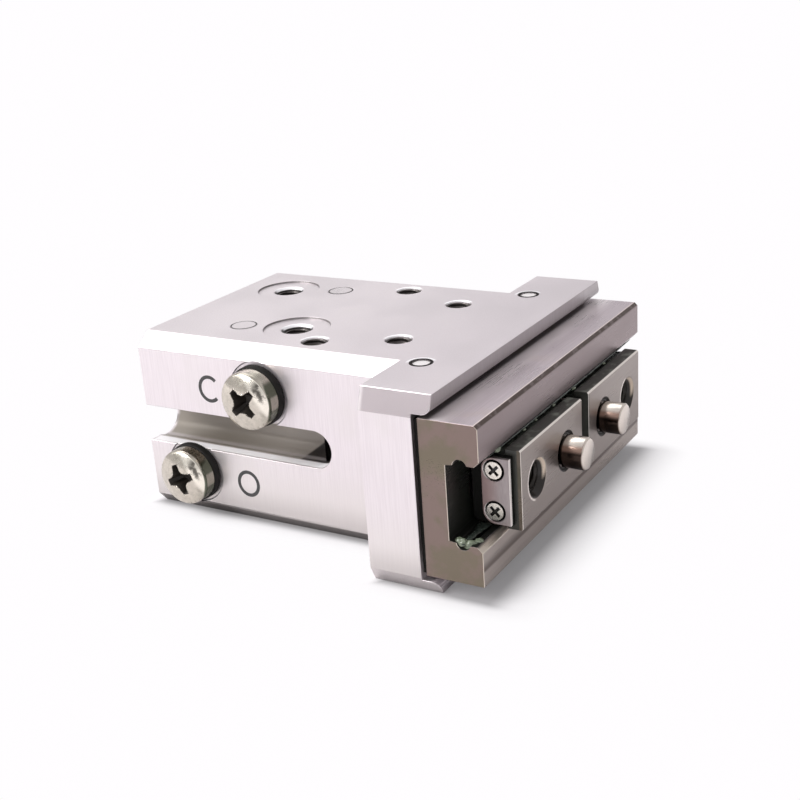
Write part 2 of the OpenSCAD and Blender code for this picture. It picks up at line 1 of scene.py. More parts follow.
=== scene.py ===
"""Looks of the parallel gripper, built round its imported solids.

Metres throughout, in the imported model's own frame: +X runs from the cylinder's
rear face to the jaws, Y runs along the guide rail and +Z is up.
"""

from __future__ import annotations

import json
import logging
import math
from dataclasses import dataclass
from enum import Enum

import bmesh
import bpy
from mathutils import Matrix, Vector, noise

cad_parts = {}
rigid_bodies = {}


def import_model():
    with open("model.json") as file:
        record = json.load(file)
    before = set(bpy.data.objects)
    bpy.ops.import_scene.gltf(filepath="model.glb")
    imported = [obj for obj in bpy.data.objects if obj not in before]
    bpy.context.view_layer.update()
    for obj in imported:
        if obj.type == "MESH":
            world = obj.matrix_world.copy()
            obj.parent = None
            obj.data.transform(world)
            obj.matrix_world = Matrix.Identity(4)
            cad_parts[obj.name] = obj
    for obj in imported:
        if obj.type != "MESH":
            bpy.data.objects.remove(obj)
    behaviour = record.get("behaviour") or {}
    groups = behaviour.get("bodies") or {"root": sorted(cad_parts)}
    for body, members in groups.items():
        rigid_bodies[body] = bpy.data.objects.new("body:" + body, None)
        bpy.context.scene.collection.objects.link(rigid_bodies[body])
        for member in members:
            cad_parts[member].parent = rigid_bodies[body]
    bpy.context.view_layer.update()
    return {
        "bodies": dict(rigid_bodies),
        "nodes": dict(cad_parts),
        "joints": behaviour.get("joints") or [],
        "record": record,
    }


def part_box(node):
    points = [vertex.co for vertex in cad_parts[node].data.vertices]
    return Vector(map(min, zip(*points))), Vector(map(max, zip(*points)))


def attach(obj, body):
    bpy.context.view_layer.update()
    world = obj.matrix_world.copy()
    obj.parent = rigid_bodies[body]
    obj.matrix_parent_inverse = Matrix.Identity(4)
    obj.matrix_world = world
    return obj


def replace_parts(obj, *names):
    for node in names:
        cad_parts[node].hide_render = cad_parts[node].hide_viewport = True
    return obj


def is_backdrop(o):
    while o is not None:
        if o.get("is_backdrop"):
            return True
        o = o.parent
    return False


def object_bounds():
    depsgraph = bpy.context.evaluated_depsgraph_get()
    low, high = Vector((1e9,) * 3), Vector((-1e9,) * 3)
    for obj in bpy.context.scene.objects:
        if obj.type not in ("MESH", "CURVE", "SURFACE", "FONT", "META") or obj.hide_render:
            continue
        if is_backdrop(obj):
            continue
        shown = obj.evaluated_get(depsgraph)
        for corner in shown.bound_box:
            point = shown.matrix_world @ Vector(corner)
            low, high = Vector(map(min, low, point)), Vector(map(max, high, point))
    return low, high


MM = 0.001
LOG = logging.getLogger("gripper")
AHEAD = Vector((1, 0, 0))
RIGHT = Vector((0, -1, 0))

Colour = tuple[float, float, float]


# ---------------------------------------------------------------- node graphs


class Wire:
    """One output socket, with the arithmetic that shader maths needs."""

    def __init__(self, graph: "Graph", socket: bpy.types.NodeSocket) -> None:
        """Holds the socket and the graph it belongs to."""
        self.graph = graph
        self.socket = socket

    def _math(self, kind: str, first: "Wire | float", second: "Wire | float") -> "Wire":
        """Adds one Math node on two values."""
        return self.graph.add("ShaderNodeMath", {"operation": kind}, {0: first, 1: second})

    def __add__(self, other: "Wire | float") -> "Wire":
        """Sum."""
        return self._math("ADD", self, other)

    __radd__ = __add__

    def __mul__(self, other: "Wire | float") -> "Wire":
        """Product."""
        return self._math("MULTIPLY", self, other)

    __rmul__ = __mul__

    def __sub__(self, other: "Wire | float") -> "Wire":
        """Difference."""
        return self._math("SUBTRACT", self, other)

    def __rsub__(self, other: "Wire | float") -> "Wire":
        """Difference, this one taken away."""
        return self._math("SUBTRACT", other, self)

    def above(self, limit: float) -> "Wire":
        """1 where the value is above the limit, 0 elsewhere."""
        return self._math("GREATER_THAN", self, limit)

    def higher(self, other: "Wire | float") -> "Wire":
        """The larger of two values."""
        return self._math("MAXIMUM", self, other)

    def size(self) -> "Wire":
        """The value without its sign."""
        return self.graph.add("ShaderNodeMath", {"operation": "ABSOLUTE"}, {0: self})


class Graph:
    """Node graph of one material or world, cleared before use."""

    def __init__(self, tree: bpy.types.NodeTree) -> None:
        """Clears the tree.

        Args:
            tree: The node tree to fill.
        """
        self.tree = tree
        tree.nodes.clear()

    def add(
        self,
        kind: str,
        settings: dict[str, object] | None = None,
        inputs: dict[int | str, object] | None = None,
        out: int | str = 0,
    ) -> Wire:
        """Adds one node: its settings first, then its sockets.

        Args:
            kind: The node's type name.
            settings: Properties of the node; "stops" fills a colour ramp.
            inputs: Values or wires by socket name or number.
            out: The output socket to hand back.

        Returns:
            The chosen output as a wire.
        """
        node = self.tree.nodes.new(kind)
        for name, value in (settings or {}).items():
            if name == "stops":
                self._fill_ramp(node.color_ramp, value)
            else:
                setattr(node, name, value)
        for name, value in (inputs or {}).items():
            socket = node.inputs[name]
            if isinstance(value, Wire):
                self.tree.links.new(value.socket, socket)
            else:
                socket.default_value = value
        return Wire(self, node.outputs[out]) if node.outputs else Wire(self, None)

    @staticmethod
    def _fill_ramp(ramp: bpy.types.ColorRamp, stops: list[tuple[float, Colour]]) -> None:
        """Sets the stops of a colour ramp."""
        while len(ramp.elements) < len(stops):
            ramp.elements.new(1.0)
        for element, (place, colour) in zip(ramp.elements, stops):
            element.position = place
            element.color = (*colour, 1.0)

    def coords(self, stretch: Colour) -> Wire:
        """Object coordinates in millimetres, multiplied by a stretch per axis.

        Args:
            stretch: Factors for X, Y and Z.

        Returns:
            The stretched vector.
        """
        place = self.add("ShaderNodeTexCoord", out="Object")
        factors = tuple(value / MM for value in stretch)
        return self.add("ShaderNodeVectorMath", {"operation": "MULTIPLY"}, {0: place, 1: factors})

    def parts(self, vector: Wire) -> tuple[Wire, Wire, Wire]:
        """X, Y and Z of a vector."""
        split = self.add("ShaderNodeSeparateXYZ", {}, {0: vector}).socket.node
        return tuple(Wire(self, split.outputs[i]) for i in range(3))

    def place(self) -> tuple[Wire, Wire, Wire]:
        """X, Y and Z of the point in millimetres, in the object's own frame."""
        return self.parts(self.coords((1.0, 1.0, 1.0)))

    def facing(self) -> tuple[Wire, Wire, Wire]:
        """X, Y and Z of the surface's normal."""
        return self.parts(self.add("ShaderNodeNewGeometry", out="Normal"))

    def noise(self, stretch: Colour, detail: float = 3.0, rough: float = 0.55) -> Wire:
        """Noise from 0 to 1 whose grain is stretched per axis."""
        return self.add(
            "ShaderNodeTexNoise",
            {"noise_dimensions": "3D"},
            {"Vector": self.coords(stretch), "Scale": 1.0, "Detail": detail, "Roughness": rough},
        )

    def blend(self, share: Wire | float, first: object, second: object) -> Wire:
        """Mixes two colours by a share from 0 to 1."""
        first = (*first, 1.0) if isinstance(first, tuple) else first
        second = (*second, 1.0) if isinstance(second, tuple) else second
        settings = {"data_type": "RGBA", "blend_type": "MIX"}
        return self.add("ShaderNodeMix", settings, {0: share, 6: first, 7: second}, out=2)

    def ramp(self, value: Wire, low: float, high: float) -> Wire:
        """Runs a value from 0 at low to 1 at high, smoothly."""
        settings = {"interpolation_type": "SMOOTHSTEP", "clamp": True}
        return self.add(
            "ShaderNodeMapRange", settings, {"Value": value, "From Min": low, "From Max": high}
        )

    def fall(self, value: Wire, low: float, high: float) -> Wire:
        """Runs a value from 1 at low to 0 at high, smoothly."""
        return 1.0 - self.ramp(value, low, high)

    def distance(self, place: tuple[Wire, Wire], centre: tuple[float, float]) -> Wire:
        """How far a flat place lies from a fixed one."""
        flat = self.add("ShaderNodeCombineXYZ", {}, {0: place[0], 1: place[1]})
        settings = {"operation": "DISTANCE"}
        return self.add("ShaderNodeVectorMath", settings, {0: flat, 1: (*centre, 0.0)}, "Value")

    def relief(self, height: Wire, depth: float, strength: float = 1.0) -> Wire:
        """Bump from a height map, depth in metres."""
        return self.add(
            "ShaderNodeBump", {}, {"Height": height, "Distance": depth, "Strength": strength}
        )


# ------------------------------------------------------------------- finishes


@dataclass(frozen=True)
class Finish:
    """A metal or plain finish with grain, patches and a faint relief."""

    name: str
    base: Colour
    shade: Colour
    metallic: float
    roughness: float
    grain: Colour = (6.0, 6.0, 6.0)
    grain_weight: float = 0.5
    patch: Colour | None = None
    patch_size: float = 0.12
    patch_from: float = 0.55
    roughness_span: float = 0.12
    relief_mm: float = 0.004
    coat: float = 0.0
    specular: float = 0.5

    def make(self) -> bpy.types.Material:
        """Builds the material.

        Returns:
            The node material.
        """
        material = bpy.data.materials.new(self.name)
        material.use_nodes = True
        graph = Graph(material.node_tree)
        grain = graph.noise(self.grain, 4.0, 0.62)
        fine = graph.noise(tuple(3.1 * g for g in self.grain), 2.0, 0.5)
        cloud = graph.noise((self.patch_size,) * 3, 3.0, 0.5)
        lines = graph.ramp(grain, 0.32, 0.68)
        colour = graph.blend(lines * self.grain_weight, self.base, self.shade)
        if self.patch:
            colour = graph.blend(graph.ramp(cloud, self.patch_from, 0.8), colour, self.patch)
        colour, metallic = self.tinted(graph, colour, lines)
        rough = self.roughness + (lines - 0.5) * self.roughness_span
        rough = rough + (graph.ramp(cloud, 0.3, 0.7) - 0.5) * (self.roughness_span * 0.7)
        relief = graph.relief(grain * 0.7 + fine * 0.3, self.relief_mm * MM)
        shader = graph.add(
            "ShaderNodeBsdfPrincipled",
            {},
            {
                "Base Color": colour,
                "Metallic": metallic,
                "Roughness": rough,
                "Normal": relief,
                "Coat Weight": self.coat,
                "Coat Roughness": 0.15,
                "Specular IOR Level": self.specular,
            },
        )
        graph.add("ShaderNodeOutputMaterial", {}, {"Surface": shader})
        return material

    def tinted(self, graph: Graph, colour: Wire, lines: Wire) -> tuple[Wire, Wire | float]:
        """Colour and metal share before shading; finishes with zones change them.

        Args:
            graph: The material's graph.
            colour: The grained colour.
            lines: The grain, from 0 to 1.

        Returns:
            The colour and the metal share.
        """
        return colour, self.metallic


@dataclass(frozen=True)
class FacedSteel(Finish):
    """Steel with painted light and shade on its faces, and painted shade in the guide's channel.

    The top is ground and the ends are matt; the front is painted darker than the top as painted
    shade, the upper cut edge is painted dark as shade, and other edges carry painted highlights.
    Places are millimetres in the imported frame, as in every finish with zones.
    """

    # front: colour of the faces that are not flat, painted darker than the top as painted shade.
    front: Colour = (0.3, 0.3, 0.3)
    end: Colour = (0.3, 0.3, 0.3)
    end_olive: Colour = (0.17, 0.14, 0.10)
    # edge: dark colour painted on the upper cut edge and along the lower lip, as painted shade.
    edge: Colour = (0.12, 0.09, 0.08)
    # Pale colour painted on edges as a painted highlight.
    edge_highlight: Colour = (0.72, 0.64, 0.55)
    painted_floor_reflection: Colour = (0.54, 0.48, 0.44)
    painted_glint: Colour = (0.82, 0.71, 0.69)
    painted_light_by_head: Colour = (0.95, 0.87, 0.89)
    # Near black of the channel: grease and painted shade.
    grease_and_shade: Colour = (0.018, 0.019, 0.016)
    end_metallic: float = 0.35
    head_front: float = 13.8
    rail_front: float = 17.95
    rail_top: float = 15.95
    chamfer: float = 0.3
    flange_z: float = 5.0
    race_front: float = 17.5
    race_depth: float = 0.9
    channel_x: float = 14.82
    channel_front: float = 18.45
    channel_z: float = 8.75
    channel_half: float = 3.42

    def tinted(self, graph: Graph, colour: Wire, lines: Wire) -> tuple[Wire, Wire | float]:
        """Colours the ends, and paints light and shade on the front, the edges, the top next to
        the head and the channel.
        """
        nx, ny, nz = graph.facing()
        px, _, pz = graph.place()
        front = graph.blend(lines * 0.25, self.front, self.shade)
        # Faces that are not flat take the front colour: painted shade.
        colour = graph.blend(graph.ramp(nz.size(), 0.80, 0.93), front, colour)
        # The lower front is painted lighter as a painted reflection of the floor, with the slab's
        # painted shadow line in the edge colour.
        low = graph.fall(pz, self.flange_z, self.flange_z + 0.3)
        strip = graph.blend(self.slab_shadow_line(graph, pz), self.painted_floor_reflection, self.edge)
        colour = graph.blend(low * graph.ramp(nx, 0.8, 0.95), colour, strip)
        high = graph.ramp(pz, self.rail_top - 0.95, self.rail_top - 0.85)
        flat = graph.ramp(nz, 0.9, 0.97) * high
        # Painted light on the rail's top next to the head, lifting the shade there.
        painted_light_beside_head = flat * graph.ramp(px, self.head_front - 0.5, self.head_front - 0.05)
        painted_light_beside_head = painted_light_beside_head * graph.fall(px, self.head_front + 0.1, self.head_front + 2.2)
        colour = graph.blend(painted_light_beside_head, colour, self.painted_light_by_head)
        # Painted highlight: a pale line along the top just behind the chamfer.
        brink = self.rail_front - self.chamfer
        colour = graph.blend(flat * graph.ramp(px, brink - 0.18, brink - 0.1), colour, self.painted_glint)
        # The upper cut edge is painted dark as shade, broken by random flecks; lower cut edges
        # take painted highlights.
        dark = graph.blend(self.unshaded_edge(graph, pz, high), self.edge, front)
        cut = graph.ramp(nx * nz, 0.2, 0.38)
        colour = graph.blend(cut, colour, graph.blend(low, dark, self.edge_highlight))
        at_end = graph.ramp(ny.size(), 0.7, 0.9)
        colour = graph.blend(at_end, colour, self.end_tone(graph))
        grease_and_shade_share = self.channel(graph, px, pz) * (1.0 - at_end)
        colour = graph.blend(grease_and_shade_share, colour, self.grease_and_shade)
        # Upright edges between the front and the ends take a painted highlight.
        colour = graph.blend(graph.ramp(nx * ny.size(), 0.2, 0.4), colour, self.edge_highlight)
        matt = at_end.higher(grease_and_shade_share).higher(painted_light_beside_head)
        return colour, self.metallic - matt * (self.metallic - self.end_metallic)

    def slab_shadow_line(self, graph: Graph, pz: Wire) -> Wire:
        """Share of the painted shadow line that the carriage's slab casts along the rail's lower
        lip.
        """
        line = graph.ramp(pz, 2.85, 3.1) * (1.0 - graph.ramp(pz, 3.15, 3.9) * 0.75)
        return line * graph.fall(pz, 3.7, 4.1) * 0.75

    def unshaded_edge(self, graph: Graph, pz: Wire, high: Wire) -> Wire:
        """Share of the rail's upper edge left out of its painted shade.

        Args:
            graph: The material's graph.
            pz: Height of the point.
            high: 1 along the upper edge, 0 lower down.

        Returns:
            0 where the edge is painted dark as shade, 1 where random flecks and its lower part are
            left bare.
        """
        flecks = graph.ramp(graph.noise((1.3, 1.3, 1.3), 3.0, 0.6), 0.5, 0.62) * high * 0.4
        low_half = graph.fall(pz, self.rail_top - self.chamfer, self.rail_top - 0.23)
        return flecks.higher(high * low_half)

    def end_tone(self, graph: Graph) -> Wire:
        """Blotched colour of the sawn ends."""
        blotch = graph.ramp(graph.noise((0.35, 0.35, 0.35), 4.0, 0.6), 0.42, 0.6)
        return graph.blend(blotch, self.end, self.end_olive)

    def channel(self, graph: Graph, px: Wire, pz: Wire) -> Wire:
        """Share of the guide's channel and races painted near black, as grease and painted shade.
        """
        off = (pz - self.channel_z).size()
        races = graph.fall(px, self.race_front - 0.6, self.race_front) * self.race_depth
        level = graph.fall(off - races, self.channel_half, self.channel_half + 0.3)
        along = graph.ramp(px, self.channel_x - 0.2, self.channel_x - 0.05)
        ahead = graph.fall(px, self.channel_front - 0.3, self.channel_front)
        return level * along * ahead


@dataclass(frozen=True)
class CarriageSteel(FacedSteel):
    """Steel of the carriages: painted dark where they meet the rail and each other, as grime and
    painted shade.
    """

    slab_front: float = 19.6
    hole_y: float = 10.65
    pin_y: float = 4.45
    core_r: float = 1.3
    mouth_r: float = 1.95
    block_end: float = 13.6
    gap_half: float = 0.85
    halo_r: float = 1.9
    # Near black of grime and painted shade, with patches of painted highlight.
    dirt_and_shade: Colour = (0.045, 0.047, 0.04)
    painted_sheen: Colour = (0.20, 0.22, 0.185)
    painted_hole_shade: Colour = (0.02, 0.016, 0.013)
    painted_hole_light: Colour = (0.72, 0.60, 0.48)
    painted_edge_highlight: Colour = (0.95, 0.88, 0.82)

    def tinted(self, graph: Graph, colour: Wire, lines: Wire) -> tuple[Wire, Wire | float]:
        """Paints shade and grime on the top, the inner ends and next to the plates, with painted
        highlights, and paints light and shade in the finger holes.
        """
        colour, metallic = super().tinted(graph, colour, lines)
        faces = graph.facing()
        px, py, pz = graph.place()
        aside = py.size()
        # The top below the rail's flange, the inner ends and the end next to the plate take grime
        # and painted shade.
        top = graph.ramp(faces[2], 0.8, 0.95)
        top = top * graph.fall(px, self.slab_front - 0.2, self.slab_front)
        inner = graph.fall(aside, self.gap_half, self.gap_half + 0.15)
        behind = graph.fall(px, self.slab_front - 0.45, self.slab_front - 0.3)
        behind = behind * graph.ramp(aside, self.block_end, self.block_end + 0.15)
        dirt_and_shade_share = top.higher(inner).higher(behind)
        painted_sheen_spots = graph.ramp(graph.noise((0.9, 0.7, 0.9), 2.0, 0.5), 0.5, 0.7) * top
        colour = graph.blend(dirt_and_shade_share, colour, graph.blend(painted_sheen_spots, self.dirt_and_shade, self.painted_sheen))
        away = graph.distance((aside, pz), (self.hole_y, self.channel_z))
        inside = graph.fall(away, self.mouth_r - 0.16, self.mouth_r - 0.1)
        colour = self.edges(graph, colour, faces[0], (aside, pz), inside)
        # Painted highlight on the left rim of the finger hole.
        side = (py.above(0.0) * 2.0 - 1.0) * (self.hole_y - aside)
        rim = graph.fall((away - self.mouth_r + 0.02).size(), 0.05, 0.12)
        colour = graph.blend(rim * graph.ramp(side, 0.3, 0.9), colour, self.painted_edge_highlight)
        # Painted light on the side of the countersink that faces the lamp, painted shade on the
        # rest of the hole.
        cone = inside * graph.fall(faces[0], 0.85, 0.95)
        lit = graph.ramp(-1.0 * faces[1] - faces[2] * 0.6, 0.35, 0.72)
        lit = lit * graph.ramp(away, self.core_r + 0.15, self.core_r + 0.3)
        colour = graph.blend(cone, colour, graph.blend(lit, self.painted_hole_shade, self.painted_hole_light))
        return colour, metallic * (1.0 - dirt_and_shade_share.higher(cone) * 0.75)

    def edges(
        self, graph: Graph, colour: Wire, nx: Wire, place: tuple[Wire, Wire], inside: Wire
    ) -> Wire:
        """Paints highlights on the slab's edges and paints shade in the sunk ring by the pin.

        Args:
            graph: The material's graph.
            colour: The colour so far.
            nx: How far the face looks ahead.
            place: Distance from the middle and height.
            inside: 1 in the finger hole's mouth.

        Returns:
            The new colour.
        """
        slanted = graph.fall(nx, 0.85, 0.97)
        by_pin = graph.distance(place, (self.pin_y, self.channel_z))
        by_pin = graph.fall(by_pin, self.halo_r, self.halo_r + 0.15)
        edge_highlight = graph.ramp(nx, 0.25, 0.45) * slanted
        colour = graph.blend(edge_highlight * (1.0 - inside) * (1.0 - by_pin), colour, self.painted_edge_highlight)
        return graph.blend(by_pin * slanted, colour, self.painted_hole_shade)


@dataclass(frozen=True)
class EdgedPlate(Finish):
    """Pressed plate with a painted highlight on its cut edge."""

    # edge: painted highlight.
    edge: Colour = (0.98, 0.92, 0.88)
    warm: Colour = (0.40, 0.29, 0.28)
    warm_zone: tuple[float, float] = (16.6, 18.2)

    def tinted(self, graph: Graph, colour: Wire, lines: Wire) -> tuple[Wire, Wire | float]:
        """Warms the rear half and paints a highlight on the cut edge, the faces looking ahead."""
        px = graph.place()[0]
        colour = graph.blend(graph.fall(px, *self.warm_zone), colour, self.warm)
        cut = graph.ramp(graph.facing()[0], 0.3, 0.6)
        return graph.blend(cut, colour, self.edge), self.metallic * (1.0 - cut)


@dataclass(frozen=True)
class PlatedHead(Finish):
    """Bright plating whose dome is painted darker on one side as painted shade, with a painted
    highlight zone and a painted dark reflection spot.
    """

    # Colours of the painted shade, the painted highlight and the painted dark reflection.
    painted_flank_shade: Colour = (0.13, 0.14, 0.105)
    glow: Colour = (1.0, 0.95, 0.84)
    spot: Colour = (0.03, 0.024, 0.018)
    tilt: tuple[float, float] = (0.84, 0.54)

    def tinted(self, graph: Graph, colour: Wire, lines: Wire) -> tuple[Wire, Wire | float]:
        """Paints a highlight, shade and a dark reflection on the dome by the way it faces."""
        x, _, z = graph.facing()
        ahead, up = self.tilt
        rise = x * ahead + z * up
        across = (z * ahead - x * up).size()
        # Painted highlight zone on the dome.
        glow = graph.ramp(rise, 0.2, 0.28) * graph.fall(rise, 0.55, 0.7)
        glow = glow * graph.fall(across, 0.35, 0.55) * 0.8
        colour = graph.blend(glow, colour, self.glow)
        painted_flank_shade = graph.ramp(x, 0.66, 0.8) * (1.0 - graph.ramp(x, 0.965, 0.985) * 0.5)
        colour = graph.blend(painted_flank_shade, colour, self.painted_flank_shade)
        # Painted dark reflection: a ragged dark patch on the dome.
        ragged = (graph.noise((1.5, 1.5, 1.5), 3.0, 0.6) - 0.5) * 0.22
        spot = graph.ramp(rise + ragged, 0.28, 0.33) * graph.fall(rise + ragged, 0.36, 0.42)
        spot = spot * graph.fall(across + ragged, 0.08, 0.2) * 0.9
        return graph.blend(spot, colour, self.spot), self.metallic - spot * 0.7


@dataclass(frozen=True)
class SmallHeads(Finish):
    """Plated screw heads whose crossed recesses are painted dark as shade."""

    recess: Colour = (0.02, 0.017, 0.015)
    faces_y: tuple[float, float] = (14.55, 0.05)

    def tinted(self, graph: Graph, colour: Wire, lines: Wire) -> tuple[Wire, Wire | float]:
        """Paints shade on what lies below the heads' faces."""
        y = graph.place()[1]
        below: Wire | float = 1.0
        for face in self.faces_y:
            below = below * graph.ramp((y.size() - face).size(), 0.015, 0.05)
        return graph.blend(below, colour, self.recess), self.metallic - below * 0.8


@dataclass(frozen=True)
class OiledPin(Finish):
    """Polished pin painted brown on its sides and dark beneath, as painted reflection and shade.
    """

    painted_flank_shade: Colour = (0.40, 0.27, 0.22)
    painted_dark_reflection: Colour = (0.045, 0.032, 0.026)

    def tinted(self, graph: Graph, colour: Wire, lines: Wire) -> tuple[Wire, Wire | float]:
        """Paints shade on what faces down and sideways, but not the end."""
        x, _, z = graph.facing()
        round_face = graph.fall(x.size(), 0.4, 0.8)
        colour = graph.blend(round_face * graph.fall(z, 0.58, 0.8), colour, self.painted_flank_shade)
        painted_shade_under = round_face * graph.fall(z, 0.25, 0.5)
        return graph.blend(painted_shade_under, colour, self.painted_dark_reflection), self.metallic


@dataclass(frozen=True)
class BodyAlloy(Finish):
    """Brushed alloy of the housing, with painted light and shade on its faces, slots, ports, pins
    and holes.
    """

    # Colours of painted shade and painted light in the slots, holes and steps.
    slot_painted_shade: Colour = (0.27, 0.24, 0.205)
    slot_painted_half_shade: Colour = (0.39, 0.355, 0.32)
    bevel_painted_shade: Colour = (0.40, 0.355, 0.37)
    top_painted_shade: Colour = (0.66, 0.60, 0.63)
    low_painted_shade: Colour = (0.22, 0.20, 0.19)
    side_painted_shade: Colour = (0.78, 0.745, 0.715)
    side_ports: tuple[tuple[float, float], ...] = ((-16.35, 4.5), (-7.6, 13.5))
    front_painted_shade: Colour = (0.24, 0.22, 0.22)
    painted_deep_shade: Colour = (0.03, 0.026, 0.024)
    slot_z: float = 8.85
    slot_half: float = 1.98
    lip_depth: float = 1.1
    wall_y: float = 12.7
    rear_x: float = -21.7
    end_lean: float = 1.24
    end_from: float = -13.35
    ports: tuple[tuple[float, float], ...] = ((-16.35, 5.6), (-7.6, -5.6))
    holes: tuple[tuple[float, float], ...] = ((-3.4, 8.8), (-3.4, -8.8), (3.9, 5.9), (3.9, -5.9))
    pins: tuple[tuple[float, float], ...] = ((9.1, 11.0), (9.1, -11.0))
    painted_light: Colour = (1.0, 0.98, 1.0)
    spot_r: float = 3.25
    halo_r: float = 1.24
    bore_r: float = 1.45
    far_axis: tuple[float, float] = (-0.52, 0.85)
    head_rear: float = 7.0
    wing_y: float = 13.0
    port_mouth: tuple[float, float] = (1.66, 0.44)
    hole_mouth: tuple[float, float] = (1.5, 0.18)
    top_z: float = 18.0

    def tinted(self, graph: Graph, colour: Wire, lines: Wire) -> tuple[Wire, Wire | float]:
        """Paints shade and light on the faces, then the slots, the spot faces, the pins and the
        holes.
        """
        place = graph.place()
        depth = self.top_z - place[2]
        colour = self.shaded(graph, colour, place)
        colour, slot, lip = self.slots(graph, colour, place)
        colour = self.rims(graph, colour, place, depth)
        colour, bright = self.mouths(graph, colour, place, depth)
        return colour, self.metallic * (1.0 - slot.higher(bright) * 0.7) * (1.0 - lip)

    def slots(
        self, graph: Graph, colour: Wire, place: tuple[Wire, Wire, Wire]
    ) -> tuple[Wire, Wire, Wire]:
        """Paints shade in the sensor slots, deepest at their round ends, and paints light on their
        lower lips.

        Args:
            graph: The material's graph.
            colour: The colour so far.
            place: The point in millimetres.

        Returns:
            The colour, the share of painted slot shade and the share of painted light on the lip.
        """
        x, y, z = place
        sunk = self.wall_y - y.size()
        level = graph.fall((z - self.slot_z).size(), self.slot_half, self.slot_half + 0.14)
        behind = graph.ramp(x, self.rear_x + 0.02, self.rear_x + 0.5)
        within = graph.ramp(sunk, 0.03, 0.35) * level * behind
        lip = graph.ramp(graph.facing()[2], 0.5, 0.8)
        lip = lip * graph.fall(sunk, self.lip_depth, self.lip_depth + 0.4)
        colour = graph.blend(within * lip, colour, self.painted_light)
        slot = within * (1.0 - lip)
        # Painted shadow at the slots' round ends.
        end = graph.ramp(x - z * self.end_lean, self.end_from, self.end_from + 0.4)
        groove = graph.blend(graph.ramp(x, -15.0, -7.0), self.slot_painted_shade, self.slot_painted_half_shade)
        colour = graph.blend(slot, colour, graph.blend(end, groove, self.painted_deep_shade))
        return colour, slot, within * lip

    def rims(
        self, graph: Graph, colour: Wire, place: tuple[Wire, Wire, Wire], depth: Wire
    ) -> Wire:
        """Paints shade on the steps of the top spot faces and paints light on the far side of the
        pins' edges.
        """
        x, y, _ = place
        step = graph.fall(depth, 0.5, 0.7) * (0.12 + graph.ramp(depth, 0.0, 0.04) * 0.4)
        for centre in self.ports:
            rim = graph.fall((graph.distance((x, y), centre) - self.spot_r).size(), 0.02, 0.09)
            colour = graph.blend(rim * step, colour, self.painted_deep_shade)
        for centre in self.pins:
            halo = graph.fall((graph.distance((x, y), centre) - self.halo_r).size(), 0.08, 0.2)
            lit = halo * self.far_side(graph, place, centre, 0.1, 0.6)
            lit = lit * graph.fall(depth, 0.3, 0.5)
            colour = graph.blend(lit, colour, self.painted_light)
        return colour

    def mouths(
        self, graph: Graph, colour: Wire, place: tuple[Wire, Wire, Wire], depth: Wire
    ) -> tuple[Wire, Wire | float]:
        """Paints shade in the top holes and paints light on the far side of their mouths.

        Args:
            graph: The material's graph.
            colour: The colour so far.
            place: The point in millimetres.
            depth: How far it lies below the top face.

        Returns:
            The colour and the share of painted light on the mouths.
        """
        x, y, z = place
        deep = graph.ramp(depth, 0.16, 0.3) * graph.ramp(z, 12.0, 13.0)
        bright: Wire | float = 0.0
        mouths = [(centre, self.port_mouth) for centre in self.ports]
        mouths += [(centre, self.hole_mouth) for centre in self.holes]
        for centre, (radius, sink) in mouths:
            away = graph.distance((x, y), centre)
            bore = graph.fall(away, self.bore_r, self.bore_r + 0.15)
            colour = graph.blend(bore * deep, colour, self.painted_deep_shade)
            lit = self.far_side(graph, place, centre, 0.2, 0.75)
            lit = lit * graph.fall(away, radius - 0.06, radius + 0.04)
            lit = lit * graph.fall(depth, sink - 0.03, sink + 0.03)
            colour = graph.blend(lit, colour, self.painted_light)
            bright = lit.higher(bright)
        return colour, bright

    def far_side(
        self,
        graph: Graph,
        place: tuple[Wire, Wire, Wire],
        centre: tuple[float, float],
        low: float,
        high: float,
    ) -> Wire:
        """1 on the left side of a hole, toward the rear; 0 on the right side."""
        along, across = self.far_axis
        toward = (place[0] - centre[0]) * along + (place[1] - centre[1]) * across
        return graph.ramp(toward, low, high)

    def shaded(self, graph: Graph, colour: Wire, place: tuple[Wire, Wire, Wire]) -> Wire:
        """Paints shade on the steep bevel, the low edges, the front, the top ahead and the lower
        sides, and light on the steps round the side ports.

        Args:
            graph: The material's graph.
            colour: The grained colour.
            place: The point in millimetres.

        Returns:
            The shaded colour.
        """
        x, y, z = place
        nx, ny, nz = graph.facing()
        steep = graph.ramp(nz, 0.2, 0.28) * graph.fall(nz, 0.4, 0.48)
        steep = steep * graph.ramp(x, self.head_rear, self.head_rear + 0.5)
        colour = graph.blend(steep, colour, self.bevel_painted_shade)
        flat = graph.ramp(nz, 0.9, 0.97) * graph.ramp(x, -12.0, 13.0) * 0.6
        colour = graph.blend(flat, colour, self.top_painted_shade)
        ahead = graph.ramp(nx, 0.75, 0.95) * (0.55 + graph.fall(z, 16.0, 17.8) * 0.4)
        colour = graph.blend(ahead * graph.ramp(z, 2.0, 5.0), colour, self.front_painted_shade)
        down = graph.fall(nz, -0.72, -0.25)
        aside = graph.ramp(ny.size(), 0.85, 0.95)
        low = graph.fall(z, 1.2, 4.2) * aside * 0.3
        corner = graph.ramp(x, self.head_rear - 3.0, self.head_rear + 1.0) * aside * 0.16
        corner = corner * graph.fall(y.size(), self.wing_y, self.wing_y + 1.0)
        line = graph.ramp(nz, 0.1, 0.3) * graph.fall(nz, 0.55, 0.72)
        line = line * graph.fall(x, self.head_rear - 0.5, self.head_rear + 0.5) * 0.7
        colour = graph.blend(graph.fall(z, 2.0, 9.0) * aside * 0.7, colour, self.side_painted_shade)
        share = down.higher(low).higher(corner).higher(line)
        colour = graph.blend(share, colour, self.low_painted_shade)
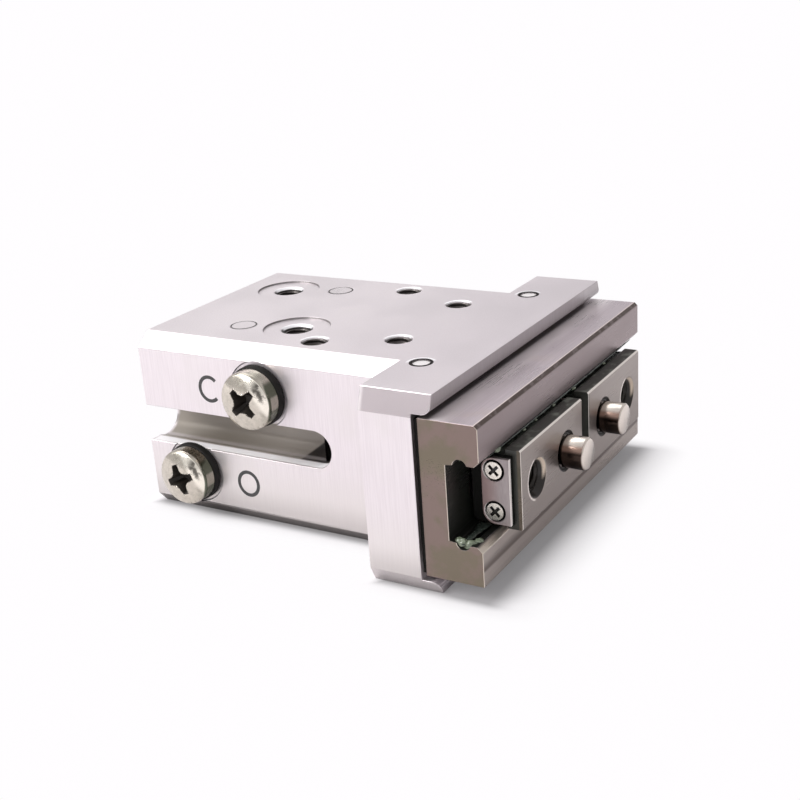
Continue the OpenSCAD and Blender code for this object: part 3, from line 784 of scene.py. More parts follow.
        # Painted light on the steps round the side ports.
        outside = graph.fall(y, -12.5, -12.3)
        for centre in self.side_ports:
            step = graph.fall((graph.distance((x, z), centre) - self.spot_r).size(), 0.05, 0.12)
            colour = graph.blend(step * outside * (1.0 - aside), colour, self.painted_light)
        return colour


class Slot(Enum):
    """Material slots of the record."""

    ALLOY = "anodised_alloy"
    TURNED = "turned_alloy"
    SPRING = "spring_steel"
    RUBBER = "rubber"
    RESIN = "black_resin"
    MAGNET = "bonded_magnet"
    BRIGHT = "bright_steel"
    HARD = "hardened_steel"
    GROUND = "ground_steel"
    PLATE = "plate_steel"
    NICKEL = "nickel_screw"
    BLACK = "black_screw"


FINISHES: dict[Slot, Finish] = {
    Slot.ALLOY: BodyAlloy(
        "brushed_anodised_alloy",
        base=(0.84, 0.78, 0.80),
        shade=(0.74, 0.68, 0.70),
        metallic=0.8,
        roughness=0.36,
        grain=(7.0, 7.0, 0.22),
        grain_weight=0.55,
        patch=(0.78, 0.73, 0.73),
        roughness_span=0.10,
        relief_mm=0.005,
    ),
    Slot.TURNED: Finish(
        "turned_alloy",
        base=(0.84, 0.78, 0.80),
        shade=(0.74, 0.69, 0.70),
        metallic=0.85,
        roughness=0.33,
        grain=(9.0, 2.0, 2.0),
    ),
    Slot.SPRING: Finish(
        "phosphated_spring_steel",
        base=(0.16, 0.155, 0.16),
        shade=(0.10, 0.10, 0.105),
        metallic=0.8,
        roughness=0.45,
        grain=(4.0, 4.0, 4.0),
    ),
    Slot.RUBBER: Finish(
        "black_rubber",
        base=(0.012, 0.011, 0.01),
        shade=(0.02, 0.018, 0.017),
        metallic=0.0,
        roughness=0.7,
        grain=(8.0, 8.0, 8.0),
        relief_mm=0.008,
        specular=0.2,
    ),
    Slot.RESIN: Finish(
        "moulded_black_resin",
        base=(0.007, 0.007, 0.006),
        shade=(0.012, 0.012, 0.011),
        metallic=0.0,
        roughness=0.6,
        grain=(9.0, 9.0, 9.0),
        relief_mm=0.006,
        specular=0.15,
    ),
    Slot.MAGNET: Finish(
        "bonded_magnet",
        base=(0.10, 0.10, 0.105),
        shade=(0.14, 0.14, 0.14),
        metallic=0.1,
        roughness=0.6,
        grain=(7.0, 7.0, 7.0),
    ),
    Slot.BRIGHT: OiledPin(
        "polished_pin_steel",
        base=(0.82, 0.75, 0.68),
        shade=(0.70, 0.62, 0.54),
        metallic=1.0,
        roughness=0.2,
        grain=(9.0, 0.8, 0.8),
        grain_weight=0.35,
        roughness_span=0.07,
        relief_mm=0.002,
    ),
    Slot.HARD: Finish(
        "hardened_lever_steel",
        base=(0.36, 0.35, 0.35),
        shade=(0.27, 0.26, 0.26),
        metallic=0.95,
        roughness=0.36,
        grain=(1.0, 6.0, 6.0),
    ),
    Slot.GROUND: FacedSteel(
        "ground_rail_steel",
        base=(0.60, 0.52, 0.56),
        shade=(0.42, 0.37, 0.38),
        # front: painted shade on the faces that are not flat.
        front=(0.31, 0.25, 0.25),
        end=(0.205, 0.148, 0.13),
        metallic=0.85,
        roughness=0.34,
        grain=(8.0, 0.2, 8.0),
        grain_weight=0.5,
        patch=(0.50, 0.42, 0.38),
        patch_size=0.16,
        roughness_span=0.12,
        relief_mm=0.003,
    ),
    Slot.PLATE: EdgedPlate(
        "pressed_plate_steel",
        base=(0.42, 0.37, 0.37),
        shade=(0.34, 0.29, 0.29),
        metallic=0.6,
        roughness=0.4,
        grain=(5.0, 5.0, 1.0),
        patch=(0.36, 0.29, 0.27),
    ),
    Slot.NICKEL: PlatedHead(
        "nickel_plate",
        base=(0.66, 0.61, 0.53),
        shade=(0.46, 0.43, 0.37),
        metallic=1.0,
        roughness=0.2,
        grain=(2.5, 2.5, 2.5),
        grain_weight=0.5,
        patch=(0.33, 0.31, 0.26),
        patch_size=0.4,
        patch_from=0.5,
        roughness_span=0.14,
        relief_mm=0.008,
    ),
    Slot.BLACK: Finish(
        "black_oxide",
        base=(0.05, 0.05, 0.052),
        shade=(0.08, 0.08, 0.08),
        metallic=0.7,
        roughness=0.4,
    ),
}

CARRIAGE_STEEL = CarriageSteel(
    "ground_carriage_steel",
    base=(0.60, 0.52, 0.56),
    shade=(0.42, 0.37, 0.38),
    # front: painted shade on the faces that are not flat.
    front=(0.36, 0.315, 0.285),
    end=(0.13, 0.105, 0.08),
    end_olive=(0.09, 0.08, 0.055),
    metallic=0.85,
    roughness=0.34,
    grain=(8.0, 0.2, 8.0),
    grain_weight=0.5,
    patch=(0.50, 0.42, 0.38),
    patch_size=0.16,
    relief_mm=0.003,
)
MARK_INK = Finish(
    "port_mark_ink",
    base=(0.03, 0.03, 0.03),
    shade=(0.09, 0.085, 0.085),
    metallic=0.0,
    roughness=0.5,
    grain=(9.0, 9.0, 9.0),
)
# Near black standing in for the shade in recesses: painted shade.
PAINTED_RECESS_SHADE = Finish(
    "painted_shade_in_recesses",
    base=(0.035, 0.028, 0.022),
    shade=(0.012, 0.011, 0.01),
    metallic=0.2,
    roughness=0.45,
    grain=(3.0, 3.0, 3.0),
)
SMALL_HEADS = SmallHeads(
    "small_plated_heads",
    base=(0.93, 0.88, 0.80),
    shade=(0.72, 0.68, 0.60),
    metallic=0.9,
    roughness=0.3,
    grain=(4.0, 4.0, 4.0),
    grain_weight=0.5,
)
PIN_GAP = Finish(
    "black_line_round_a_pin",
    base=(0.014, 0.011, 0.011),
    shade=(0.03, 0.024, 0.024),
    metallic=0.0,
    roughness=0.7,
    grain=(6.0, 6.0, 6.0),
    specular=0.1,
)
PIVOT_FACE = Finish(
    "frosted_pin_steel",
    base=(0.86, 0.82, 0.82),
    shade=(0.66, 0.62, 0.62),
    metallic=0.1,
    roughness=0.4,
    grain=(5.0, 5.0, 5.0),
)
THREAD_STEEL = Finish(
    "shaded_thread",
    base=(0.12, 0.105, 0.10),
    shade=(0.05, 0.045, 0.045),
    metallic=0.6,
    roughness=0.4,
    grain=(5.0, 5.0, 5.0),
)
PLUG_GAP = Finish(
    "dirt_in_a_gap",
    base=(0.05, 0.045, 0.045),
    shade=(0.11, 0.10, 0.10),
    metallic=0.0,
    roughness=0.6,
    grain=(8.0, 8.0, 8.0),
)
GREASE = Finish(
    "guide_grease",
    base=(0.13, 0.155, 0.105),
    shade=(0.30, 0.35, 0.255),
    metallic=0.0,
    roughness=0.18,
    grain=(3.0, 3.0, 3.0),
    relief_mm=0.03,
    coat=0.5,
)
DARK_GREASE = Finish(
    "oily_guide_grease",
    base=(0.035, 0.045, 0.038),
    shade=(0.12, 0.15, 0.125),
    metallic=0.0,
    roughness=0.22,
    grain=(1.4, 1.4, 1.4),
    relief_mm=0.03,
    coat=0.3,
)


class Workshop:
    """Makes each finish once and hands it out."""

    def __init__(self) -> None:
        """Starts with no material made."""
        self._made: dict[str, bpy.types.Material] = {}

    def get(self, finish: Finish) -> bpy.types.Material:
        """The finish's material, made on first use."""
        if finish.name not in self._made:
            self._made[finish.name] = finish.make()
        return self._made[finish.name]


# -------------------------------------------------------------------- helpers


def box_centre(node: str) -> Vector:
    """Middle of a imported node's box."""
    low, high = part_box(node)
    return (low + high) / 2


def new_piece(name: str, mesh: bmesh.types.BMesh, smooth_angle: float = 35.0) -> bpy.types.Object:
    """Turns a bmesh into a scene object with smooth faces and sharp creases.

    Args:
        name: The piece's name.
        mesh: The mesh to keep; it is freed.
        smooth_angle: Creases sharper than this many degrees stay sharp.

    Returns:
        The new object.
    """
    bmesh.ops.recalc_face_normals(mesh, faces=mesh.faces)
    for face in mesh.faces:
        face.smooth = True
    for edge in mesh.edges:
        if len(edge.link_faces) == 2 and edge.calc_face_angle() > math.radians(smooth_angle):
            edge.smooth = False
    data = bpy.data.meshes.new(name)
    mesh.to_mesh(data)
    mesh.free()
    piece = bpy.data.objects.new(name, data)
    bpy.context.scene.collection.objects.link(piece)
    return piece


def turned(profile: list[tuple[float, float]], steps: int = 96) -> bmesh.types.BMesh:
    """Turns a profile of radius and height about +Z.

    Args:
        profile: Points of the profile, from the axis or back to it.
        steps: Number of steps round the axis.

    Returns:
        The turned mesh.
    """
    mesh = bmesh.new()
    rings = []
    for radius, height in profile:
        if radius < 1e-9:
            rings.append([mesh.verts.new((0.0, 0.0, height))])
            continue
        angles = [2 * math.pi * i / steps for i in range(steps)]
        rings.append(
            [mesh.verts.new((radius * math.cos(a), radius * math.sin(a), height)) for a in angles]
        )
    for low, high in zip(rings, rings[1:]):
        for i in range(steps):
            j = (i + 1) % steps
            if len(low) == 1 and len(high) == 1:
                continue
            if len(low) == 1:
                mesh.faces.new((low[0], high[i], high[j]))
            elif len(high) == 1:
                mesh.faces.new((low[i], low[j], high[0]))
            else:
                mesh.faces.new((low[i], low[j], high[j], high[i]))
    return mesh


def arc(
    centre: tuple[float, float], radius: float, start: float, end: float, steps: int
) -> list[tuple[float, float]]:
    """Points on an arc, angles in degrees."""
    turns = [math.radians(start + (end - start) * i / steps) for i in range(steps + 1)]
    return [(centre[0] + radius * math.cos(t), centre[1] + radius * math.sin(t)) for t in turns]


def thread_tube(outer_r: float, length: float, pitch: float, depth: float) -> bmesh.types.BMesh:
    """A thin tube along -Z from the origin with a screw thread on its inside.

    Args:
        outer_r: Radius of the hole it lines.
        length: Length of the thread.
        pitch: Distance between two crests.
        depth: Height of the thread.

    Returns:
        The closed tube.
    """
    steps, rows_per_pitch, clear = 40, 6, 0.004 * MM
    rows = int(length / pitch * rows_per_pitch)
    mesh = bmesh.new()
    columns = []
    for i in range(steps):
        turn = 2 * math.pi * i / steps
        c, s = math.cos(turn), math.sin(turn)
        ring = [mesh.verts.new((outer_r * c, outer_r * s, 0.0))]
        for j in range(rows + 1):
            z = -length * j / rows
            phase = (-z / pitch + i / steps) % 1.0
            radius = outer_r - clear - depth * (1.0 - abs(2.0 * phase - 1.0))
            ring.append(mesh.verts.new((radius * c, radius * s, z)))
        ring.append(mesh.verts.new((outer_r * c, outer_r * s, -length)))
        columns.append(ring)
    for i in range(steps):
        one, two = columns[i], columns[(i + 1) % steps]
        for j in range(len(one)):
            k = (j + 1) % len(one)
            mesh.faces.new((one[j], two[j], two[k], one[k]))
    return mesh


def flat_ring(inner_r: float, outer_r: float, thick: float) -> bmesh.types.BMesh:
    """A flat ring on the XY plane."""
    profile = [(inner_r, 0.0), (outer_r, 0.0), (outer_r, thick), (inner_r, thick), (inner_r, 0.0)]
    return turned(profile, 64)


def aim(axis: Vector) -> Matrix:
    """Turn that carries +Z onto an axis."""
    return axis.to_track_quat("Z", "Y").to_matrix().to_4x4()


def set_on(place: tuple[float, float, float], axis: Vector) -> Matrix:
    """Where a piece stands whose own +Z points along an axis."""
    return Matrix.Translation(place) @ aim(axis)


def cut_away(piece: bpy.types.Object, cutter: bpy.types.Object) -> None:
    """Cuts one piece out of another for good and drops the cutter.

    Args:
        piece: The piece that is cut.
        cutter: The shape taken out.
    """
    change = piece.modifiers.new("cut", "BOOLEAN")
    change.operation = "DIFFERENCE"
    change.solver = "EXACT"
    change.object = cutter
    bpy.context.view_layer.update()
    graph = bpy.context.evaluated_depsgraph_get()
    data = bpy.data.meshes.new_from_object(piece.evaluated_get(graph))
    piece.modifiers.clear()
    piece.data = data
    bpy.data.objects.remove(cutter)


class Dresser:
    """Gives pieces their finish, their body and their rounded edges."""

    def __init__(self, frame: dict, workshop: Workshop) -> None:
        """Keeps the frame and the finishes.

        Args:
            workshop: Maker of the finishes.
        """
        self.nodes: dict[str, bpy.types.Object] = frame["nodes"]
        self.bodies: dict[str, list[str]] = frame["record"]["behaviour"]["bodies"]
        self.workshop = workshop

    def body_of(self, node: str) -> str:
        """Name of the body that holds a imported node."""
        return next(name for name, nodes in self.bodies.items() if node in nodes)

    def dress(
        self, node: str, slot: Slot, edge_mm: float = 0.0, finish: Finish | None = None
    ) -> None:
        """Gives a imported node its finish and, if asked, rounded edges.

        Args:
            node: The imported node.
            slot: The slot it takes.
            edge_mm: Width of the rounding, or 0 for none.
            finish: Its own finish, where the slot's usual one doesn't suit.
        """
        piece = self.nodes[node]
        material = self.workshop.get(finish or FINISHES[slot])
        piece.data.materials.clear()
        piece.data.materials.append(material)
        if edge_mm:
            weld = piece.modifiers.new("weld", "WELD")
            weld.merge_threshold = 2e-6
            flat = piece.modifiers.new("flat_faces", "DECIMATE")
            flat.decimate_type = "DISSOLVE"
            flat.angle_limit = math.radians(1.0)
            bevel = piece.modifiers.new("edges", "BEVEL")
            bevel.width = edge_mm * MM
            bevel.segments = 2
            bevel.limit_method = "ANGLE"
            bevel.angle_limit = math.radians(32)
            bevel.use_clamp_overlap = False
            bevel.harden_normals = True
        LOG.info("dressed %s as %s", node, material.name)

    def place(
        self, piece: bpy.types.Object, body: str, finish: Finish, slot: Slot | None = None
    ) -> bpy.types.Object:
        """Finishes a new piece and sets it on a body.

        Args:
            piece: The new piece, already where it belongs.
            body: The body it rides on.
            finish: Its finish.
            slot: The record's slot, where it has one; not used.

        Returns:
            The same piece.
        """
        piece.data.materials.clear()
        piece.data.materials.append(self.workshop.get(finish))
        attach(piece, body)
        LOG.info("placed %s on %s", piece.name, body)
        return piece

    def stand_in(self, piece: bpy.types.Object, node: str, slot: Slot) -> bpy.types.Object:
        """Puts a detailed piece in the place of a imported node.

        Args:
            piece: The detailed piece.
            node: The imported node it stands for.
            slot: The finish it takes.

        Returns:
            The same piece.
        """
        self.place(piece, self.body_of(node), FINISHES[slot], slot)
        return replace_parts(piece, node)


# --------------------------------------------------------------- sub-assemblies


@dataclass
class Housing:
    """Body of the gripper, its plugs, port marks and threads."""

    dresser: Dresser
    edge_mm: float = 0.07
    mark_height: float = 2.75 * MM
    mark_width: float = 2.6 * MM
    mark_stroke: float = 0.35 * MM
    mark_proud: float = 0.012 * MM
    pitch: float = 0.5 * MM
    core_r: float = 1.25 * MM
    thread_depth: float = 0.17 * MM
    pin_gap: tuple[float, float] = (0.80 * MM, 1.08 * MM)
    plug_gap: tuple[float, float] = (1.19 * MM, 1.31 * MM)
    gap_thick: float = 0.01 * MM
    mount_holes: tuple[tuple[float, float], ...] = (
        (18.3, 8.8),
        (18.3, -8.8),
        (25.6, 5.9),
        (25.6, -5.9),
    )
    port_holes: tuple[tuple[float, float], ...] = ((5.35, 5.6), (14.1, -5.6))
    mount_thread: tuple[float, float] = (0.22 * MM, 3.5 * MM)
    port_thread: tuple[float, float] = (0.6 * MM, 2.5 * MM)
    wall_y: float = -12.7 * MM
    close_mark: tuple[float, float] = (-5.75 * MM, -0.12 * MM)
    close_gap: float = 46.0
    open_mark: tuple[float, float] = (6.4 * MM, -0.4 * MM)

    def build(self) -> None:
        """Dresses the housing and adds what is on it."""
        self.dresser.dress("housing", Slot.ALLOY, self.edge_mm)
        self.dresser.dress("rail_gasket", Slot.RUBBER)
        low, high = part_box("housing")
        self.threads(low.x, high.z)
        for side in ("left", "right"):
            self.dresser.dress(f"{side}_pivot_pin", Slot.BRIGHT, finish=PIVOT_FACE)
            self.dresser.dress(f"{side}_top_plug", Slot.TURNED)
            pin, plug = box_centre(f"{side}_pivot_pin"), box_centre(f"{side}_top_plug")
            self.gap(f"{side}_pin_gap", (pin.x, pin.y, high.z), self.pin_gap, PIN_GAP)
            self.gap(f"{side}_plug_gap", (plug.x, plug.y, high.z), self.plug_gap, PLUG_GAP)
        self.mark("close", self.close_mark, self.close_gap)
        self.mark("open", self.open_mark, 0.0)

    def threads(self, rear: float, top: float) -> None:
        """Lines the top holes and ports with screw threads."""
        holes = [(place, self.mount_thread) for place in self.mount_holes]
        holes += [(place, self.port_thread) for place in self.port_holes]
        for number, ((x, y), (sunk, length)) in enumerate(holes, 1):
            tube = thread_tube(self.core_r, length, self.pitch, self.thread_depth)
            piece = new_piece(f"top_thread_{number}", tube)
            piece.location = (rear + x * MM, y * MM, top - sunk)
            self.dresser.place(piece, "gripper_housing", THREAD_STEEL)

    def gap(
        self,
        name: str,
        place: tuple[float, float, float],
        radii: tuple[float, float],
        finish: Finish,
    ) -> None:
        """A thin dark line round a pin or plug in the top face."""
        piece = new_piece(name, flat_ring(*radii, self.gap_thick))
        piece.location = place
        self.dresser.place(piece, "gripper_housing", finish)

    def mark(self, port: str, offset: tuple[float, float], gap: float) -> None:
        """A port mark: a tall ring, with a gap to the front where it is open.

        Args:
            port: The port that it names.
            offset: How far it lies ahead of the port and above it.
            gap: Half of the gap's angle in degrees, or 0 for a closed ring.
        """
        steps = 72
        outer = (self.mark_width / 2, self.mark_height / 2)
        inner = (outer[0] - self.mark_stroke, outer[1] - self.mark_stroke)
        angles = [math.radians(gap + (360 - 2 * gap) * i / steps) for i in range(steps + 1)]
        mesh = bmesh.new()
        rows = []
        for turn in angles:
            c, s = math.cos(turn), math.sin(turn)
            points = [(outer[0] * c, outer[1] * s), (inner[0] * c, inner[1] * s)]
            rows.append([mesh.verts.new((x, 0.0, z)) for x, z in points])
        for first, second in zip(rows, rows[1:]):
            mesh.faces.new((first[0], second[0], second[1], first[1]))
        bmesh.ops.remove_doubles(mesh, verts=mesh.verts, dist=1e-7)
        solid = bmesh.ops.extrude_face_region(mesh, geom=mesh.faces[:])
        moved = [item for item in solid["geom"] if isinstance(item, bmesh.types.BMVert)]
        bmesh.ops.translate(mesh, verts=moved, vec=(0.0, -self.mark_proud, 0.0))
        piece = new_piece(f"{port}_mark", mesh)
        middle = box_centre(f"{port}_port_screw")
        piece.location = (middle.x + offset[0], self.wall_y, middle.z + offset[1])
        self.dresser.place(piece, "gripper_housing", MARK_INK)


@dataclass
class Cylinder:
    """Pieces of the air cylinder."""

    dresser: Dresser

    def build(self) -> None:
        """Dresses the cylinder's pieces."""
        for node in ("end_cap", "rod_cover", "piston"):
            self.dresser.dress(node, Slot.TURNED)
        for node in ("end_cap_ring", "rod_cover_ring", "rod_seal", "piston_seal"):
            self.dresser.dress(node, Slot.RUBBER)
        self.dresser.dress("retaining_ring", Slot.SPRING, 0.06)
        self.dresser.dress("magnet_ring", Slot.MAGNET)
        self.dresser.dress("piston_rod", Slot.BRIGHT)
        self.dresser.dress("rod_yoke", Slot.HARD, 0.08)
        self.dresser.dress("left_lever", Slot.HARD, 0.06)
        self.dresser.dress("right_lever", Slot.HARD, 0.06)


@dataclass
class Guide:
    """Guide rail, its screws and the grease in its races."""

    dresser: Dresser
    edge_mm: float = 0.08
    race_x: float = 16.15
    floor_x: float = 16.05
    lip_x: float = 17.72
    lip_half: float = 16.5
    guide_z: float = 8.75
    rail_half: float = 18.1
    lumps: tuple[tuple[float, ...], ...] = (
        (15.7, -17.6, 5.15, 0.75, 0.42, 0.5),
        (16.5, -17.45, 4.95, 0.8, 0.5, 0.6),
        (17.0, -16.9, 5.1, 0.5, 0.5, 0.35),
        (17.75, -14.3, 12.5, 0.3, 0.55, 0.25),
        (18.0, -9.6, 12.5, 0.17, 0.3, 0.13),
        (18.0, -7.2, 12.5, 0.14, 0.2, 0.1),
        (18.0, -3.4, 12.5, 0.17, 0.3, 0.13),
        (18.0, 1.2, 12.5, 0.17, 0.4, 0.14),
        (18.0, 8.6, 12.5, 0.17, 0.3, 0.12),
    )

    def build(self) -> None:
        """Dresses the rail and its screws, and greases the races."""
        self.dresser.dress("guide_rail", Slot.GROUND, self.edge_mm)
        self.dresser.dress("rail_screws", Slot.BLACK, 0.05)
        reach = self.rail_half - 0.1
        floor = (self.floor_x, self.guide_z - 3.6)
        self.smear("lower_channel_grease", floor, -reach, reach, (1.15, 0.42), 27.0, DARK_GREASE)
        roof = (self.race_x, self.guide_z + 3.95)
        self.smear("upper_race_grease", roof, -reach, reach, (0.6, 0.12), 13.0)
        lip, half = (self.lip_x, self.guide_z + 3.72), self.lip_half
        self.smear("upper_lip_grease", lip, -half, half, (0.2, 0.17), 3.0, DARK_GREASE)
        for number, (x, y, z, *radii) in enumerate(self.lumps, 1):
            self.lump(f"grease_lump_{number:02d}", (x, y, z), tuple(radii), 5.0 * number)

    def lump(
        self,
        name: str,
        place: tuple[float, float, float],
        radii: tuple[float, ...],
        seed: float,
    ) -> None:
        """A knobbly lump of grease; sizes in millimetres.

        Args:
            name: The piece's name.
            place: Its middle.
            radii: Half sizes along X, Y and Z.
            seed: Shifts the knobs.
        """
        mesh = bmesh.new()
        bmesh.ops.create_icosphere(mesh, subdivisions=4, radius=1.0)
        for vert in mesh.verts:
            swell = 0.8 + 0.2 * noise.noise(vert.co * 1.6 + Vector((seed, 0.0, 0.0)))
            swell += 0.1 * noise.noise(vert.co * 4.0 + Vector((0.0, seed, 0.0)))
            sized = zip(place, radii, vert.co)
            vert.co = Vector([(at + half * swell * part) * MM for at, half, part in sized])
        self.dresser.place(new_piece(name, mesh, 60.0), "gripper_housing", GREASE)

    def smear(
        self,
        name: str,
        place: tuple[float, float],
        start: float,
        end: float,
        half: tuple[float, float],
        seed: float,
        finish: Finish | None = None,
    ) -> None:
        """A lumpy strand of grease along Y; sizes in millimetres.

        Args:
            name: The piece's name.
            place: X and Z of its middle.
            start: Y of its first end.
            end: Y of its other end.
            half: Half width and half height of the strand.
            seed: Shifts the lumps.
            finish: Its own finish, where it isn't the pale grease.
        """
        rows, steps = 120, 12
        mesh = bmesh.new()
        rings = []
        for i in range(rows + 1):
            y = start + (end - start) * i / rows
            wave = noise.noise(Vector((seed, y * 1.3, 0.0)))
            fade = min(1.0, 4.0 * min(i, rows - i) / rows + 0.15)
            ring = []
            for j in range(steps):
                turn = 2 * math.pi * j / steps
                lump = noise.noise(Vector((seed + math.cos(turn), y * 2.3, math.sin(turn))))
                size = max(0.25, 0.72 + 0.28 * wave + 0.3 * lump) * fade
                x = place[0] + half[0] * min(size, 1.0) * math.cos(turn)
                z = place[1] + half[1] * min(size, 1.0) * math.sin(turn)
                ring.append(mesh.verts.new((x * MM, y * MM, z * MM)))
            rings.append(ring)
        mesh.faces.new(rings[0])
        mesh.faces.new(rings[-1])
        for one, two in zip(rings, rings[1:]):
            for j in range(steps):
                k = (j + 1) % steps
                mesh.faces.new((one[j], one[k], two[k], two[j]))
        self.dresser.place(new_piece(name, mesh, 60.0), "gripper_housing", finish or GREASE)


@dataclass
class Jaw:
    """One carriage with its end plates, screws, balls and pin."""

    dresser: Dresser
    side: str
    edge_mm: float = 0.07
    finger_y: float = 10.65 * MM
    guide_z: float = 8.75 * MM
    core_r: float = 1.25 * MM
    thread_length: float = 1.75 * MM
    thread_sunk: float = 0.62 * MM
    pitch: float = 0.5 * MM
    thread_depth: float = 0.17 * MM
    shade_ring_radii: tuple[float, float] = (1.51 * MM, 1.66 * MM)
    shade_ring_sunk: float = 0.22 * MM
    pin_step: float = 2.45 * MM
    pin_edge: float = 0.15 * MM
    pin_soft: float = 0.03 * MM
    neck_step: float = 0.25 * MM

    def build(self) -> None:
        """Dresses the carriage's pieces and builds its pin, its thread and the painted shade in
        the ring round the pin.
        """
        carriage = f"{self.side}_carriage"
        self.dresser.dress(carriage, Slot.GROUND, self.edge_mm, CARRIAGE_STEEL)
        for end in ("outer", "inner"):
            self.dresser.dress(f"{self.side}_{end}_cap", Slot.RESIN)
            self.dresser.dress(f"{self.side}_{end}_plate", Slot.PLATE, 0.05)
        self.dresser.dress(f"{self.side}_plate_screws", Slot.NICKEL, finish=SMALL_HEADS)
        self.dresser.dress(f"{self.side}_balls", Slot.BRIGHT)
        self.pin()
        self.thread()
        self.recess_shade()

    def thread(self) -> None:
        """Screw thread in the hole for the finger, coloured with painted shade."""
        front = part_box(f"{self.side}_carriage")[1].x
        sign = 1 if self.side == "left" else -1
        tube = thread_tube(self.core_r, self.thread_length, self.pitch, self.thread_depth)
        piece = new_piece(f"{self.side}_finger_thread", tube)
        place = (front - self.thread_sunk, sign * self.finger_y, self.guide_z)
        piece.matrix_world = set_on(place, AHEAD)
        self.dresser.place(piece, f"{self.side}_jaw", PAINTED_RECESS_SHADE)

    def recess_shade(self) -> None:
        """Painted shade in the sunk ring round the pin."""
        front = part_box(f"{self.side}_carriage")[1].x
        pin = box_centre(f"{self.side}_finger_pin")
        ring = new_piece(f"{self.side}_pin_shade_ring", flat_ring(*self.shade_ring_radii, 0.03 * MM))
        ring.matrix_world = set_on((front - self.shade_ring_sunk, pin.y, pin.z), AHEAD)
        self.dresser.place(ring, f"{self.side}_jaw", PAINTED_RECESS_SHADE)

    def pin(self) -> None:
        """Locating pin with a rounded end."""
        node = f"{self.side}_finger_pin"
        low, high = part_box(node)
        r = (high.y - low.y) / 2
        length = high.x - low.x
        edge, soft = self.pin_edge, self.pin_soft
        neck = r - self.neck_step
        profile = [(0.0, 0.0), (neck, 0.0), (neck, self.pin_step), (r, self.pin_step)]
        profile += [(r, length - edge - soft), (r - 0.01 * MM, length - edge)]
        profile += [(r - edge + soft, length - soft), (r - edge - soft, length), (0.0, length)]
        piece = new_piece(f"{self.side}_pin_turned", turned(profile))
        middle = box_centre(node)
        piece.matrix_world = set_on((low.x, middle.y, middle.z), AHEAD)
        self.dresser.stand_in(piece, node, Slot.BRIGHT)


